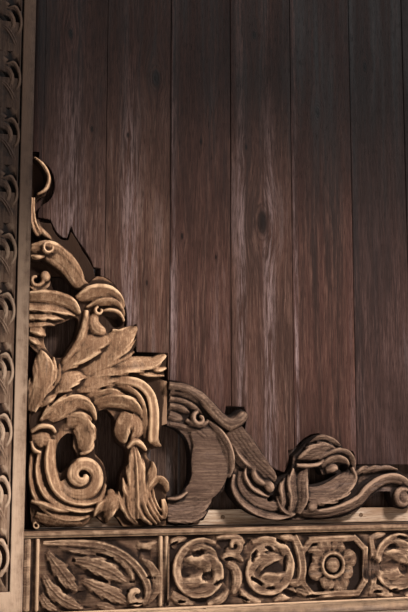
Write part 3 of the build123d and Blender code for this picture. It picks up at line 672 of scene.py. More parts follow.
# %% Strokes of the foot
foot_strokes = [
    (spiral((92, 102), 41, 3, 195, 750, 21), [22, 26, 27, 27, 27, 26, 25, 24, 22, 19, 14],
     [20, 24, 26, 27, 28, 29, 30, 31, 33, 34, 35], "band"),
    ([(34, 172), (30, 130), (38, 92), (58, 66), (92, 54), (126, 60), (141, 88)],
     [18, 24, 25, 23, 20, 16, 8], [20, 27, 29, 29, 28, 25, 20], "blade_right"),
    ([(13, 150), (9, 112), (18, 80), (38, 57), (70, 43), (104, 38), (128, 44)],
     [14, 18, 20, 20, 18, 15, 7], [18, 24, 26, 27, 26, 24, 18], "blade_right"),
    ([(-4, 146), (-4, 104), (2, 72), (22, 44), (52, 27), (86, 22), (112, 26)],
     [10, 15, 17, 18, 18, 15, 7], [16, 21, 23, 24, 24, 22, 16], "blade_right"),
    ([(-5, 55), (16, 49), (40, 40), (70, 33)], [8, 13, 12, 5], [22, 30, 29, 22], "round"),
    ([(4, 26), (34, 17), (66, 10), (98, 9)], [20, 20, 14, 8], [18, 23, 21, 14], "blade_left"),
    (spiral((6, 8), 7, 3, 90, 450, 7), [5, 5, 4], [20, 22, 22], "round"),
    ([(130, 284), (170, 290), (206, 284), (228, 264), (236, 236), (237, 200), (236, 164)],
     [8, 15, 18, 19, 20, 21, 20], [16, 25, 27, 28, 29, 29, 27], "flat"),
    ([(134, 271), (172, 275), (198, 262), (212, 240), (217, 205), (219, 172)],
     [8, 14, 17, 17, 16, 8], [14, 22, 25, 26, 24, 16], "blade_left"),
    ([(78, 244), (114, 257), (150, 264), (186, 256)], [10, 20, 22, 5], [18, 27, 29, 20],
     "blade_left", (3, 0), 0.34, 0.5),
    ([(108, 238), (148, 250), (184, 246), (204, 230), (212, 213)], [10, 26, 30, 26, 6],
     [16, 26, 31, 31, 22], "blade_left", (4, 0), 0.34, 0.5),
    ([(186, 226), (178, 206), (172, 188), (178, 164)], [24, 34, 32, 10], [24, 33, 34, 24],
     "blade_left", (3, 0), 0.26, 0.5),
    ([(196, 224), (202, 206), (203, 190), (192, 170)], [20, 28, 26, 8], [24, 31, 31, 22],
     "blade_right", (0, 3), 0.26, 0.5),
    ([(184, 156), (198, 169), (214, 162), (225, 150)], [8, 14, 12, 6], [22, 27, 26, 20], "round"),
    ([(236, 178), (244, 165), (256, 158)], [18, 15, 4], [26, 27, 20], "blade_left"),
    ([(206, 18), (204, 60), (202, 100), (200, 134), (197, 164)], [36, 58, 50, 40, 8],
     [24, 30, 31, 30, 22], "leaf", (4, 3), 0.34, 0.5),
    ([(196, 52), (184, 76), (176, 100)], [14, 20, 4], [22, 28, 20], "blade_left"),
    ([(188, 28), (176, 48), (168, 74)], [14, 18, 4], [20, 27, 19], "blade_left"),
    ([(212, 74), (227, 92), (236, 112), (236, 131)], [14, 21, 18, 4], [22, 29, 28, 20],
     "blade_right"),
    ([(198, 76), (203, 48), (216, 22), (238, 4)], [9, 11, 11, 7], [22, 27, 26, 18], "round"),
    ([(208, 78), (213, 50), (226, 24), (247, 4)], [9, 11, 11, 6], [22, 29, 28, 18], "blade_left"),
    ([(218, 78), (222, 52), (234, 28), (254, 8)], [9, 11, 11, 6], [22, 28, 27, 18], "blade_left"),
    ([(227, 76), (230, 54), (241, 32), (259, 14)], [9, 11, 11, 6], [22, 27, 26, 18], "blade_left"),
    ([(236, 74), (238, 56), (247, 38), (262, 24)], [8, 10, 9, 6], [20, 25, 24, 16], "blade_left"),
    ([(228, 62), (234, 84), (248, 95), (262, 86), (268, 68)], [12, 16, 16, 14, 8],
     [22, 28, 30, 27, 18], "blade_left"),
    ([(258, 56), (262, 36), (262, 14)], [8, 12, 8], [22, 24, 16], "flat"),
    ([(190, 80), (184, 54), (190, 28), (210, 6)], [18, 24, 22, 10], [23, 26, 25, 16], "leaf"),
    ([(176, 58), (152, 48), (136, 32)], [20, 38, 22], [20, 27, 22], "round"),
    ([(162, 50), (148, 30), (143, 9)], [14, 20, 4], [21, 28, 18], "blade_left"),
    ([(150, 54), (130, 40), (119, 21)], [16, 20, 4], [21, 28, 18], "blade_right"),
]
print("strokes of the foot", len(foot_strokes))

# %% [markdown]
# ## Carving a board
# All three boards are finished in the same order: fuse, sink the pits, cut by
# hand, stand up on the leaf, and mark hollows. The hinge-side board gets a
# second, higher bed under its lower leaves, because the carver left more wood
# there than at the neck.

# %% Carve the hinge-side board
pit_ground = -10.0
ripple_size = 14.0
board_back = -(carving_back + board_front)


def finish_board(mesh, name, pits, ripple):
    """Pits, tool marks and place of one fused openwork board."""
    if pits:
        sink(mesh, pits, pit_ground)
    hand_cut(mesh, ripple, ripple_size)
    piece = place_piece(mesh, name, "leaf", drawing_matrix(board_front / 1000))
    mark_hollows(mesh)
    return piece


bed_edge = [(-20, 470), (30, 458), (62, 450), (88, 466), (104, 486)]
bed_outline = [bed_edge] + left_outline[6:]
left_shape = carve(top_strokes + leaf_strokes + foot_strokes)
add_dome(left_shape, (13, 492), 11, 26)
add_dome(left_shape, (152, 68), 9, 22)
add_board(left_shape, [left_outline] + left_holes, 0.0, board_back)
add_board(left_shape, [bed_outline] + left_holes[1:], 12.0, -5.0)
left_mesh = fuse(left_shape, "left_carving_skin", 1.5, rounds=2)
left_piece = finish_board(left_mesh, "hinge_side_carving", [pit(161, 407, 26, 20, 10)], 0.5)
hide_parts("left_carving")

# %% [markdown]
# ## The arch board
# The middle board carries on the great scroll: its rim comes down to a small
# knob, three fronds lie under it, and below them is a flat crescent that
# still shows the marks of the saw. Its foot is a broad leaf. The crescent is
# one wide stroke with a flat section, which the veins leave alone.

# %% Arch board
arch_outline = [
    [(268.2, 291), (302, 287), (330, 274), (353, 254), (375, 231)],
    [(392, 219), (410, 226), (427, 237), (438, 230), (437, 214), (424, 206)],
    [(411.8, 203)],
    [(411.8, 111), (398, 100)],
    [(394, 84), (388, 70)],
    [(376, 64), (372, 56)],
    [(362, 57), (362, 42)],
    [(354, 24), (345, 12)],
    [(336, 15), (322, 4)],
    [(296, 3), (284, 3)],
    [(268.2, 8)],
    [(268.2, 62), (292, 60), (310, 74), (319, 112), (314, 166), (294, 191)],
    [(268.2, 202)],
]
arch_strokes = [
    ([(268, 283), (304, 277), (334, 262), (358, 240), (380, 218), (398, 208), (416, 212),
      (430, 223), (437, 231)], [16, 19, 21, 22, 23, 24, 26, 27, 20],
     [28, 31, 32, 32, 31, 30, 31, 31, 27], "round"),
    ([(384, 208), (398, 200), (411, 198)], [12, 14, 12], [22, 25, 24], "round"),
    ([(272, 267), (302, 261), (330, 248), (350, 234)], [12, 14, 13, 8], [22, 26, 26, 18],
     "blade_left"),
    ([(272, 254), (300, 248), (326, 236), (342, 224)], [12, 14, 13, 7], [20, 24, 24, 17],
     "blade_left"),
    ([(272, 240), (294, 236), (316, 226)], [13, 14, 8], [18, 22, 17], "blade_left"),
    ([(272, 224), (284, 220), (302, 214)], [16, 18, 10], [15, 17, 14], "round"),
    (spiral((334, 216), 15, 4, 100, 460, 9), [9, 11, 10, 7], [22, 27, 28, 27], "round"),
    ([(308, 214), (322, 206), (344, 205), (356, 214)], [8, 12, 12, 7], [18, 24, 24, 18], "round"),
    ([(274, 206), (300, 200), (330, 192), (352, 176)], [10, 12, 14, 12], [13, 15, 16, 16], "round"),
    ([(330, 196), (352, 168), (360, 128), (352, 92), (328, 68), (296, 58)],
     [34, 66, 82, 74, 52, 14], [15, 16, 16, 16, 15, 13], "flat"),
    ([(350, 214), (378, 186), (396, 154), (403, 122), (398, 96)], [8, 18, 22, 18, 8],
     [18, 24, 25, 24, 18], "blade_left"),
    ([(269, 36), (300, 34), (332, 41), (364, 57)], [40, 46, 44, 8], [17, 20, 20, 15],
     "blade_right", (0, 4), 0.3, 0.5),
    ([(269, 19), (296, 19), (324, 21), (354, 31)], [22, 28, 28, 6], [18, 23, 22, 15],
     "blade_right", (0, 4), 0.3, 0.5),
    ([(268, 56), (290, 58), (312, 70)], [6, 9, 5], [18, 24, 18], "round"),
]
arch_shape = carve(arch_strokes)
add_board(arch_shape, [arch_outline], 10.0, board_back)
arch_mesh = fuse(arch_shape, "arch_carving_skin", 1.4, rounds=2)
arch_piece = finish_board(arch_mesh, "arch_carving_board", [], 0.4)
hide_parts("arch_carving")

# %% [markdown]
# ## The wave board
# The last board rolls out along the ledge and ends in a small volute. Its edge
# is drawn first, and the opening under its crest is one more ring, as in the
# hinge-side board.

# %% Outline of the wave board
wave_outline = [
    [(412.2, 203), (422, 194), (444, 162), (474, 124), (504, 96)],
    [(530, 104), (541, 120)],
    [(545, 141), (562, 156), (586, 178), (610, 183), (636, 167)],
    [(656, 147), (674, 136)],
    [(685, 112), (698, 121)],
    [(713, 118), (730, 122)],
    [(748, 118), (768, 121), (790, 113), (812, 93), (830, 66), (826, 38)],
    [(800, 28), (781, 35), (772, 52)],
    [(770, 66), (742, 66), (720, 52)],
    [(690, 24), (640, 12), (560, 9), (490, 12), (440, 29), (407, 61), (402, 88)],
    [(412.2, 111)],
]
wave_hole = [[(562, 98), (574, 119), (600, 119)], [(612, 102), (646, 105), (612, 88), (576, 82)]]
print("the wave board's edge has", len(wave_outline), "runs")

# %% [markdown]
# ## Strokes of the wave board
# A broad band comes down into open channels with a ball at their end. A cuff
# of three leaves stands before it, a leaf rises to a crest with a curled end,
# and a long arm runs out to the volute. The ball and the volute's eye are
# bosses, and two pits are sunk where the carver cut deepest.

# %% Wave board
wave_strokes = [
    ([(402, 194), (428, 158), (458, 124), (480, 106), (502, 88)], [48, 58, 54, 42, 20],
     [22, 26, 26, 25, 22], "blade_left"),
    ([(410, 166), (424, 144), (444, 124), (462, 112)], [8, 14, 14, 5], [20, 25, 25, 20],
     "blade_right"),
    ([(412, 104), (408, 78), (424, 50), (458, 28), (500, 18), (544, 22)], [9, 15, 16, 16, 14, 9],
     [20, 28, 30, 29, 26, 18], "blade_right"),
    ([(430, 110), (428, 84), (446, 58), (480, 42), (516, 38)], [16, 26, 30, 28, 18],
     [14, 19, 21, 21, 18], "round"),
    ([(440, 124), (435, 102), (447, 80), (470, 66), (492, 58)], [6, 10, 11, 10, 6],
     [18, 26, 27, 26, 18], "blade_right"),
    ([(456, 124), (453, 106), (464, 91), (484, 82)], [8, 14, 14, 8], [18, 26, 27, 22], "round"),
    ([(474, 88), (486, 80), (491, 66)], [12, 20, 14], [22, 30, 25], "round"),
    ([(516, 26), (520, 50), (518, 74), (524, 98)], [12, 22, 24, 6], [20, 27, 27, 20],
     "blade_left", (3, 0), 0.3, 0.5),
    ([(534, 22), (540, 52), (536, 84), (543, 118)], [14, 26, 30, 6], [22, 30, 31, 22],
     "blade_left", (3, 0), 0.3, 0.5),
    ([(550, 24), (560, 52), (558, 84), (571, 119)], [14, 26, 28, 6], [22, 31, 32, 22],
     "blade_right", (0, 3), 0.3, 0.5),
    ([(566, 26), (582, 46), (598, 42)], [12, 18, 8], [20, 27, 18], "blade_right"),
    ([(506, 60), (512, 40), (528, 26), (548, 22)], [8, 12, 11, 6], [20, 25, 24, 18], "blade_right"),
    ([(640, 150), (614, 156), (584, 150), (553, 136)], [14, 34, 34, 6], [24, 34, 33, 22],
     "blade_right", (0, 4), 0.32, 0.5),
    ([(652, 156), (628, 170), (602, 176), (574, 164)], [12, 20, 20, 5], [22, 30, 30, 20],
     "blade_right"),
    ([(600, 134), (628, 148), (654, 151), (674, 137), (684, 112)],
     [8, 14, 16, 14, 5], [22, 31, 33, 30, 20], "blade_left", (4, 0), 0.3, 0.5),
    ([(608, 120), (624, 131), (644, 136), (661, 129), (668, 112)], [12, 18, 16, 12, 6],
     [20, 28, 30, 29, 22], "blade_left"),
    ([(550, 122), (578, 121), (600, 125), (612, 136)], [8, 10, 9, 6], [20, 26, 26, 20], "round"),
    ([(618, 111), (634, 117), (646, 113)], [12, 18, 10], [18, 25, 18], "round"),
    ([(677, 118), (683, 98), (681, 78)], [8, 11, 8], [22, 26, 20], "round"),
    ([(566, 64), (598, 58), (632, 66), (662, 86), (686, 116)], [30, 42, 48, 42, 8],
     [24, 27, 28, 28, 20], "blade_right", (0, 5), 0.3, 0.5),
    ([(548, 24), (600, 22), (650, 31), (690, 48), (716, 72), (750, 91), (782, 94), (808, 80),
      (820, 56)], [10, 18, 21, 23, 24, 24, 22, 20, 13],
     [18, 24, 26, 27, 28, 28, 27, 26, 22], "blade_left"),
    ([(684, 98), (700, 113), (723, 120)], [8, 14, 4], [20, 26, 18], "blade_left"),
    ([(704, 106), (726, 115), (748, 120)], [8, 14, 4], [19, 25, 18], "blade_left"),
    ([(728, 108), (756, 116), (790, 112)], [8, 14, 4], [18, 24, 16], "blade_left"),
    (spiral((797, 52), 20, 10, 60, 330, 8), [12, 14, 12], [24, 26, 26], "round"),
]
wave_shape = carve(wave_strokes)
add_dome(wave_shape, (582, 37), 12, 28)
add_dome(wave_shape, (797, 52), 15, 27)
add_board(wave_shape, [wave_outline, wave_hole], 10.0, board_back)
wave_mesh = fuse(wave_shape, "wave_carving_skin", 1.4, rounds=2)
wave_pits = [pit(661, 117, 19, 17, 0), pit(491, 54, 20, 10, 20)]
wave_piece = finish_board(wave_mesh, "wave_carving_board", wave_pits, 0.4)
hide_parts("wave_carving")

# %% [markdown]
# ## The vine
# A vine of curled leaves runs up each jamb. It repeats, and its second half
# is its first half turned over, so only one wave is made. The carver sank the
# ground between the leaves and left them nearly flat. So it starts as a plate
# with three kinds of low strokes on it, and the ground is sunk along curved
# cuts.

# %% One wave of the vine
vine_pitch = 115.0
vine_half_width = 38.0
vine_ground = 0.4


def turned_over(points, flip, shift):
    """Points of the drawing mirrored across the vine and moved up it."""
    return [(x * flip, z + shift) for x, z in points]


vine_cuts = []
vine_strokes = []
for flip, shift in ((1, 0.0), (-1, vine_pitch / 2)):
    vine_cuts += [(turned_over(points, flip, shift), widths) for points, widths in (
        ([(8, 86), (20, 83), (29, 68), (28, 48), (18, 34)], [2.0, 6.5, 7.5, 6.5, 2.0]),
        ([(10, 92), (22, 100), (31, 96), (34, 86)], [2.0, 6.0, 6.0, 2.0]),
        ([(1, 70), (10, 66), (15, 55), (11, 44)], [1.6, 5.0, 5.0, 1.6]),
        ([(-2, 28), (12, 22), (26, 24), (33, 34)], [1.6, 4.5, 4.5, 1.6]))]
    vine_strokes += [(turned_over(points, flip, shift), *rest) for points, *rest in (
        ([(2, 90), (24, 92), (35, 72), (34, 46), (22, 26)],
         [5, 8, 8, 8, 5], [7, 9.4, 10, 9.4, 7], "round"),
        ([(0, 80), (15, 76), (21, 60), (16, 42), (4, 38)],
         [6, 9, 10, 9, 5], [7, 9.2, 9.8, 9, 7], "leaf"),
        ([(-32, 60), (-22, 84), (-8, 104), (8, 112)], [7, 9, 9, 6], [7, 9, 9.4, 7], "twin"))]
plate_top = vine_pitch * 1.5 + 4
plate_edge = [[(-vine_half_width, 0)], [(vine_half_width, 0)],
              [(vine_half_width, plate_top)], [(-vine_half_width, plate_top)]]
vine_shape = bmesh.new()
for stroke in vine_strokes:
    add_stroke(vine_shape, *stroke, foot=2.0)
add_board(vine_shape, [plate_edge], 7.4, -1.0)
vine_mesh = fuse(vine_shape, "vine_wave", 1.0, rounds=1, limit=15000)
sink(vine_mesh, vine_cuts, vine_ground)
hand_cut(vine_mesh, 0.25, 9.0, vein=0.2, vein_gap=4.0)
vine_top = max(vert.co.y for vert in vine_mesh.vertices)

# %% [markdown]
# ## Timbers with a sunk panel
# The jambs and the sill's front are squared timbers whose carving lies in a
# sunk panel between plain fillets. An inset of the front face gives the
# panel's edge, an extrusion pushes it in, and a small bevel wears every sharp
# edge. Cutting it with a Boolean would give the same shape but leave the
# edges to be found again.

# %% Timbers with a sunk panel


def timber_shape(low, high, left, right, lower, upper, sunk, wear=0.002):
    """A box whose front has a sunk panel, with margins at its four sides."""
    shape = bmesh.new()
    bmesh.ops.create_cube(shape, size=1.0)
    bmesh.ops.scale(shape, verts=shape.verts, vec=high - low)
    bmesh.ops.translate(shape, verts=shape.verts, vec=(high + low) / 2)
    front = min(shape.faces, key=lambda face: face.calc_center_median().y)
    bmesh.ops.inset_region(shape, faces=[front], thickness=0.01)
    middle = front.calc_center_median()
    for vert in front.verts:
        vert.co.x = low.x + left if vert.co.x < middle.x else high.x - right
        vert.co.z = low.z + lower if vert.co.z < middle.z else high.z - upper
    pushed = bmesh.ops.extrude_face_region(shape, geom=[front])["geom"]
    bmesh.ops.translate(shape, verts=[v for v in pushed if isinstance(v, bmesh.types.BMVert)],
                        vec=(0, sunk, 0))
    if front.is_valid:
        bmesh.ops.delete(shape, geom=[front], context="FACES_ONLY")
    sharp = [edge for edge in shape.edges
             if len(edge.link_faces) == 2 and edge.calc_face_angle() > 0.5]
    bmesh.ops.bevel(shape, geom=sharp, offset=wear, segments=2, profile=0.5,
                    affect="EDGES", material=-1)
    return shape


def add_worn_box(shape, low, high, wear=0.002):
    """A box with worn edges, added to a shape."""
    cube = bmesh.ops.create_cube(shape, size=1.0)["verts"]
    bmesh.ops.scale(shape, verts=cube, vec=high - low)
    bmesh.ops.translate(shape, verts=cube, vec=(high + low) / 2)
    edges = list({edge for vert in cube for edge in vert.link_edges})
    bmesh.ops.bevel(shape, geom=edges, offset=wear, segments=2, profile=0.5,
                    affect="EDGES", material=-1)


trial = timber_shape(Vector((0, 0, 0)), Vector((0.1, 0.1, 1)), 0.02, 0.02, 0.02, 0.02, 0.01)
print("a timber with a sunk panel has", len(trial.faces), "faces")
trial.free()

# %% [markdown]
# ## Both jambs
# The count of waves that fit gives the margin under the vine. The waves are
# then set one above the other. Each is a wave and a half long, so the next
# one grows over its end, and the panel ends just above the last one. The
# right jamb mirrors the left one, so its copies of the wave have a negative
# scale and their faces are turned back outwards. It also has the lip that the
# leaf shuts on.

# %% Both jambs
fillet = 0.024
panel_depth = 0.011
hair = 0.001
lintel_lap = 0.015
jamb_width = 0.130
jamb_pieces = []
for name, side in (("jamb_left", 1), ("jamb_right", -1)):
    low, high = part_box(name)
    low.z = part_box("base_sill")[1].z
    high.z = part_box("lintel")[0].z + lintel_lap
    face_low, face_high = low.copy(), high.copy()
    if side < 0:
        face_low.x = face_high.x - jamb_width
    waves = int(((high.z - low.z) * 1000 - 2000 * fillet) / vine_pitch)
    end = ((high.z - low.z) - waves * vine_pitch / 1000) / 2
    vine_end = low.z + end + ((waves - 2) * vine_pitch + vine_top) / 1000 + 2 * hair
    shape = timber_shape(face_low, face_high, fillet, fillet, end, high.z - vine_end, panel_depth)
    if side < 0:
        add_worn_box(shape, Vector((low.x, low.y, sill_top)),
                     Vector((face_low.x + 0.004, -hair, high.z - lintel_lap)))
    middle = (face_low.x + face_high.x) / 2
    for number in range(waves - 1):
        wave = vine_mesh.copy()
        wave.transform(Matrix.Translation((middle, low.y + panel_depth,
                                           low.z + end + number * vine_pitch / 1000))
                       @ Matrix.Rotation(pi / 2, 4, "X")
                       @ Matrix.Diagonal((0.001 * side, 0.001, 0.001, 1)))
        if side < 0:
            wave.flip_normals()
        shape.from_mesh(wave)
        bpy.data.meshes.remove(wave)
    mesh = bpy.data.meshes.new(name + "_carved")
    shape.to_mesh(mesh)
    shape.free()
    piece = place_piece(mesh, name + "_carved", "frame")
    mark_hollows(mesh, reach=0.0022, floor_depth=0.012)
    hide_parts(name)
    jamb_pieces.append(piece)
    print(name, "waves", waves, "polygons", len(mesh.polygons))

# %% [markdown]
# ## The carved sill
# The sill's front is one long panel: a corner wing of lobed leaves, paired
# scrolls with curled leaves inside, and a rosette in an eight-sided frame.
# The deepest spots are small dark pits between the leaves. They are chosen
# one by one, because their uneven spacing is what makes the panel look hand
# made.

# %% Pits of the sill: middle, length, width and lean of each
sill_pits = [
    (62, -50, 36, 8, -28), (134, -50, 38, 6, -16), (118, -90, 52, 8, -22), (84, -84, 22, 8, -50),
    (174, -112, 22, 7, -40), (54, -108, 30, 7, -48), (96, -124, 36, 7, -34), (218, -44, 34, 9, -15),
    (190, -100, 16, 5, 0), (196, -141, 26, 4, 0), (20, -66, 22, 6, -72), (104, -143, 22, 6, 0),
    (226, -93, 22, 4, 0), (266, -92, 56, 5, 88), (322, -50, 28, 12, 15), (298, -86, 18, 20, 0),
    (342, -94, 30, 16, 20), (368, -106, 30, 7, 25), (372, -34, 26, 8, -50), (388, -62, 22, 8, 0),
    (407, -138, 16, 9, 60), (258, -144, 18, 10, 40), (288, -141, 16, 6, 0), (330, -141, 26, 12, 10),
    (272, -30, 18, 6, 30), (440, -58, 28, 9, 62), (474, -44, 22, 8, -30), (508, -74, 34, 8, 84),
    (446, -106, 34, 8, -30), (518, -134, 42, 14, -20), (426, -31, 22, 7, 40), (498, -30, 26, 7, -25),
    (476, -122, 18, 6, 0), (420, -140, 20, 6, -30),
    (566, -141, 24, 8, 0),
    (727, -86, 16, 20, 0), (752, -46, 24, 11, 15), (778, -92, 20, 24, 20), (716, -137, 22, 7, 0),
    (776, -28, 28, 6, -10), (700, -90, 5, 50, 0), (752, -136, 22, 8, 15), (800, -60, 12, 24, -15),
    (806, -120, 24, 10, 30), (858, -86, 16, 20, 0), (884, -48, 26, 11, -10), (904, -92, 20, 22, 10),
    (866, -138, 26, 8, 0), (912, -134, 20, 8, -20), (838, -56, 5, 46, 0), (918, -36, 16, 6, 0),
]
print("pits in the sill", len(sill_pits))

# %% [markdown]
# ## The wing and the scrolls
# The wing is drawn once. The scrolls come in pairs that face each other, so
# one scroll is drawn round its own middle, and a loop sets it four times,
# turned over where the pair needs it. Single strokes fill the gaps between
# them.

# %% Strokes of the sill
rail_strokes = [
    ([(14, -22), (80, -24), (130, -31), (172, -50), (204, -80), (220, -114), (212, -146)],
     [8, 13, 15, 16, 16, 15, 9], [9, 11, 12.5, 13, 13, 12, 9], "twin"),
    (spiral((197, -124), 17, 4, 320, 20, 8), [12, 15, 14, 10], [10, 12, 13, 13], "band"),
    ([(90, -36), (132, -40), (164, -57), (186, -82), (190, -104)], [7, 12, 13, 12, 6],
     [7, 10, 11, 10, 7], "round"),
    ([(74, -56), (108, -64), (142, -78), (178, -100)], [12, 34, 36, 8], [8, 12, 13, 8], "leaf",
     (4, 4), 0.42, 0.5),
    ([(22, -40), (42, -66), (62, -92), (82, -114)], [10, 30, 32, 6], [8, 12, 12, 8], "leaf",
     (3, 3), 0.42, 0.5),
    ([(92, -94), (122, -108), (152, -122), (184, -142)], [12, 32, 32, 6], [8, 12, 12, 8], "leaf",
     (4, 4), 0.42, 0.5),
    ([(16, -82), (34, -110), (58, -130), (94, -147)], [10, 28, 26, 6], [8, 12, 12, 8], "leaf",
     (3, 3), 0.42, 0.5),
    ([(12, -118), (24, -136), (44, -148)], [12, 20, 6], [8, 11, 8], "leaf", (2, 2), 0.4, 0.5),
    ([(46, -30), (84, -38), (118, -46)], [8, 14, 5], [7, 10, 7], "blade_right", (0, 3), 0.4, 0.5),
    ([(120, -140), (136, -144), (156, -150)], [10, 16, 5], [7, 10, 7], "leaf"),
    ([(198, -30), (216, -34), (240, -26)], [8, 14, 5], [8, 10, 7], "blade_left"),
    ([(206, -58), (224, -70), (236, -92), (234, -120), (218, -144)], [8, 15, 17, 14, 6],
     [8, 10, 11, 10, 7], "blade_left"),
]
for x_place, flip in ((330, 1), (466, -1), (768, 1), (896, -1)):
    centre = (x_place, -82)
    turn, section = (60, "blade_right") if flip > 0 else (120, "blade_left")
    rail_strokes += [
        (spiral(centre, 57, 48, turn, turn + 210 * flip, 9), [10, 16, 18, 17, 12],
         [9, 12, 13, 13, 11], section),
        (spiral(centre, 48, 16, turn + 200 * flip, turn + 430 * flip, 11), [12, 18, 20, 18, 8],
         [11, 12, 13, 13, 10], section),
    ]
    rail_strokes += [
        ([(x_place + x * flip, z) for x, z in path], *rest) for path, *rest in (
            (((-26, -44), (-2, -40), (20, -48), (34, -64)), [8, 16, 16, 4], [8, 11, 12, 8],
             "blade_left"),
            (((-36, -62), (-12, -62), (8, -72), (14, -90)), [8, 20, 22, 5], [8, 12, 13, 8],
             "blade_left"),
            (((-8, -54), (14, -62), (28, -78), (28, -94)), [10, 18, 18, 5], [8, 11, 12, 8],
             "blade_left"),
            (((-44, -98), (-22, -104), (0, -100), (16, -108)), [12, 22, 20, 5], [8, 11, 12, 8],
             "blade_right"),
            (((-30, -116), (-6, -118), (18, -112), (36, -100)), [10, 18, 18, 5], [8, 11, 11, 8],
             "blade_right"),
            (((-62, -126), (-44, -136), (-16, -148)), [16, 20, 6], [9, 11, 8], "round"),
            (((12, -148), (38, -140), (58, -120)), [8, 18, 6], [9, 11, 8], "round"),
            (((-64, -28), (-50, -22), (-30, -20)), [10, 14, 6], [8, 11, 8], "round"))]
rail_strokes += [
    (spiral((398, -36), 17, 4, 200, 600, 10), [11, 13, 12, 8], [9, 12, 13, 13], "round"),
    ([(360, -20), (384, -17), (408, -22), (424, -40)], [8, 12, 12, 6], [8, 12, 12, 8], "round"),
    ([(372, -62), (386, -52), (404, -56), (418, -68)], [8, 13, 12, 6], [8, 12, 11, 8], "round"),
    ([(384, -70), (400, -82), (404, -106), (394, -132)], [12, 20, 20, 10], [8, 11, 11, 8], "round"),
    ([(832, -20), (832, -60), (832, -100), (832, -146)], [10, 13, 13, 10], [9, 11, 11, 9], "twin"),
    ([(528, -20), (540, -50), (545, -84), (538, -110), (518, -116)], [16, 20, 20, 20, 12],
     [10, 12, 13, 13, 10], "twin"),
    ([(508, -104), (522, -112), (540, -106)], [10, 14, 6], [9, 13, 9], "round"),
    ([(532, -124), (556, -132), (576, -138)], [12, 18, 6], [8, 11, 8], "leaf"),
    ([(702, -24), (708, -70), (708, -110), (698, -144)], [10, 14, 14, 10], [9, 11, 11, 9], "twin"),
    ([(558, -52), (576, -48), (590, -56)], [8, 14, 6], [8, 11, 8], "round"),
]
print("strokes of the sill", len(rail_strokes))

# %% [markdown]
# ## The rosette and its frame
# Eight petals, a ring and a boss make the rosette. A hand-cut flower is never
# quite even, so the petals' turns and lengths differ a little, in a fixed
# order that gives the same flower each time. Twin-ridged bars frame it, and
# upright beads part the panels.

# %% Rosette, frame and beads
frame_corners = [(546, -52), (566, -29), (664, -27), (688, -50), (688, -112), (668, -138),
                 (566, -139), (546, -114)]
bead_places = [4.0, 245.0, 257.0]
rosette_centre = (614, -80)
rail_foot = -3.0
rail_low, rail_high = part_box("carved_sill_rail")
rail_ends = [(x - drawing_left) * 1000 for x in (rail_low.x + 0.003, rail_high.x - 0.003)]
rail_shape = carve([])


def add_upright(place, width, level, section):
    """A straight bar over the height of the sill's panel."""
    add_stroke(rail_shape, [(place, -14), (place, -60), (place, -110), (place, -149)],
               [width] * 4, [level] * 4, section, foot=rail_foot)


for stroke in rail_strokes:
    add_stroke(rail_shape, *stroke, foot=rail_foot)
for place in bead_places:
    add_upright(place, 8, 11, "round")
for place in (rail_ends[0] + 7, rail_ends[1] - 7):
    add_upright(place, 13, 10.5, "band")
for number, corner in enumerate(frame_corners):
    start, end = Vector(frame_corners[number - 1]), Vector(corner)
    reach = (end - start).normalized() * 5
    add_stroke(rail_shape, [start - reach, end + reach], [13, 13], [11.5, 11.5], "twin",
               foot=rail_foot)
for number in range(8):
    turn = radians(22.5 + 45 * number + (-5, 4, 3, -4)[number % 4])
    tip = (58, 53, 60, 51)[number % 4]
    petal = [(rosette_centre[0] + reach * cos(turn), rosette_centre[1] + reach * sin(turn))
             for reach in (22, 36, tip - 8, tip)]
    add_stroke(rail_shape, petal, [16, 34, 42 - number % 3 * 3, 26], [7, 9, 11.5, 9], "twin",
               foot=rail_foot)
add_stroke(rail_shape, spiral(rosette_centre, 24, 24, 0, 360, 17), [8] * 5, [12.5] * 5,
           foot=rail_foot)
add_dome(rail_shape, rosette_centre, 17, 13, foot=rail_foot, flatten=0.55)
print("bars on the sill's panel", len(rail_shape.faces), "faces")

# %% [markdown]
# ## Carving the sill
# The ground is a plate with an eight-sided opening behind the rosette, where
# the ground lies deepest. The plate and all strokes are fused, and the skin
# is set into the sunk panel of its timber.

# %% Carve the sill
plate_low, plate_high = -150.0, -15.0
plate_level, plate_back = 4.6, -1.0
rail_panel_depth, rail_fillet, rail_foot_fillet = 0.013, 0.013, 0.025
sill_plate = [[(rail_ends[0], plate_low)], [(rail_ends[1], plate_low)],
              [(rail_ends[1], plate_high)], [(rail_ends[0], plate_high)]]
frame_middle = Vector(rosette_centre)
rosette_field = [[tuple(frame_middle + (Vector(corner) - frame_middle) * 0.9)]
                 for corner in frame_corners]
add_board(rail_shape, [sill_plate, rosette_field], plate_level, plate_back)
rail_mesh = fuse(rail_shape, "sill_relief", 1.4, rounds=1, limit=150000)
sink(rail_mesh, [pit(*place) for place in sill_pits], 0.4)
hand_cut(rail_mesh, 0.8, 8.0, vein=0.7, vein_gap=6.0)
rail_timber = timber_shape(rail_low, rail_high, 0.002, 0.002, rail_foot_fillet, rail_fillet,
                           rail_panel_depth, wear=0.0025)
rail_mesh.transform(drawing_matrix(rail_low.y + rail_panel_depth))
rail_timber.from_mesh(rail_mesh)
bpy.data.meshes.remove(rail_mesh)
rail_carved = bpy.data.meshes.new("sill_carved")
rail_timber.to_mesh(rail_carved)
rail_timber.free()
rail_piece = place_piece(rail_carved, "sill_carved", "frame")
mark_hollows(rail_carved, reach=0.0042, floor_depth=0.016)
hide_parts("carved_sill_rail")
print("sill polygons", len(rail_carved.polygons))

# %% [markdown]
# ## Old timber
# Everything is weathered teak. A photograph of wood would slide and stretch
# on carved shapes, so the wood is made of noise on Object coordinates, which
# runs through a piece as real grain does. A small class keeps the tree of
# nodes readable: each of its methods adds one node and returns its socket.

# %% A small helper for shader trees


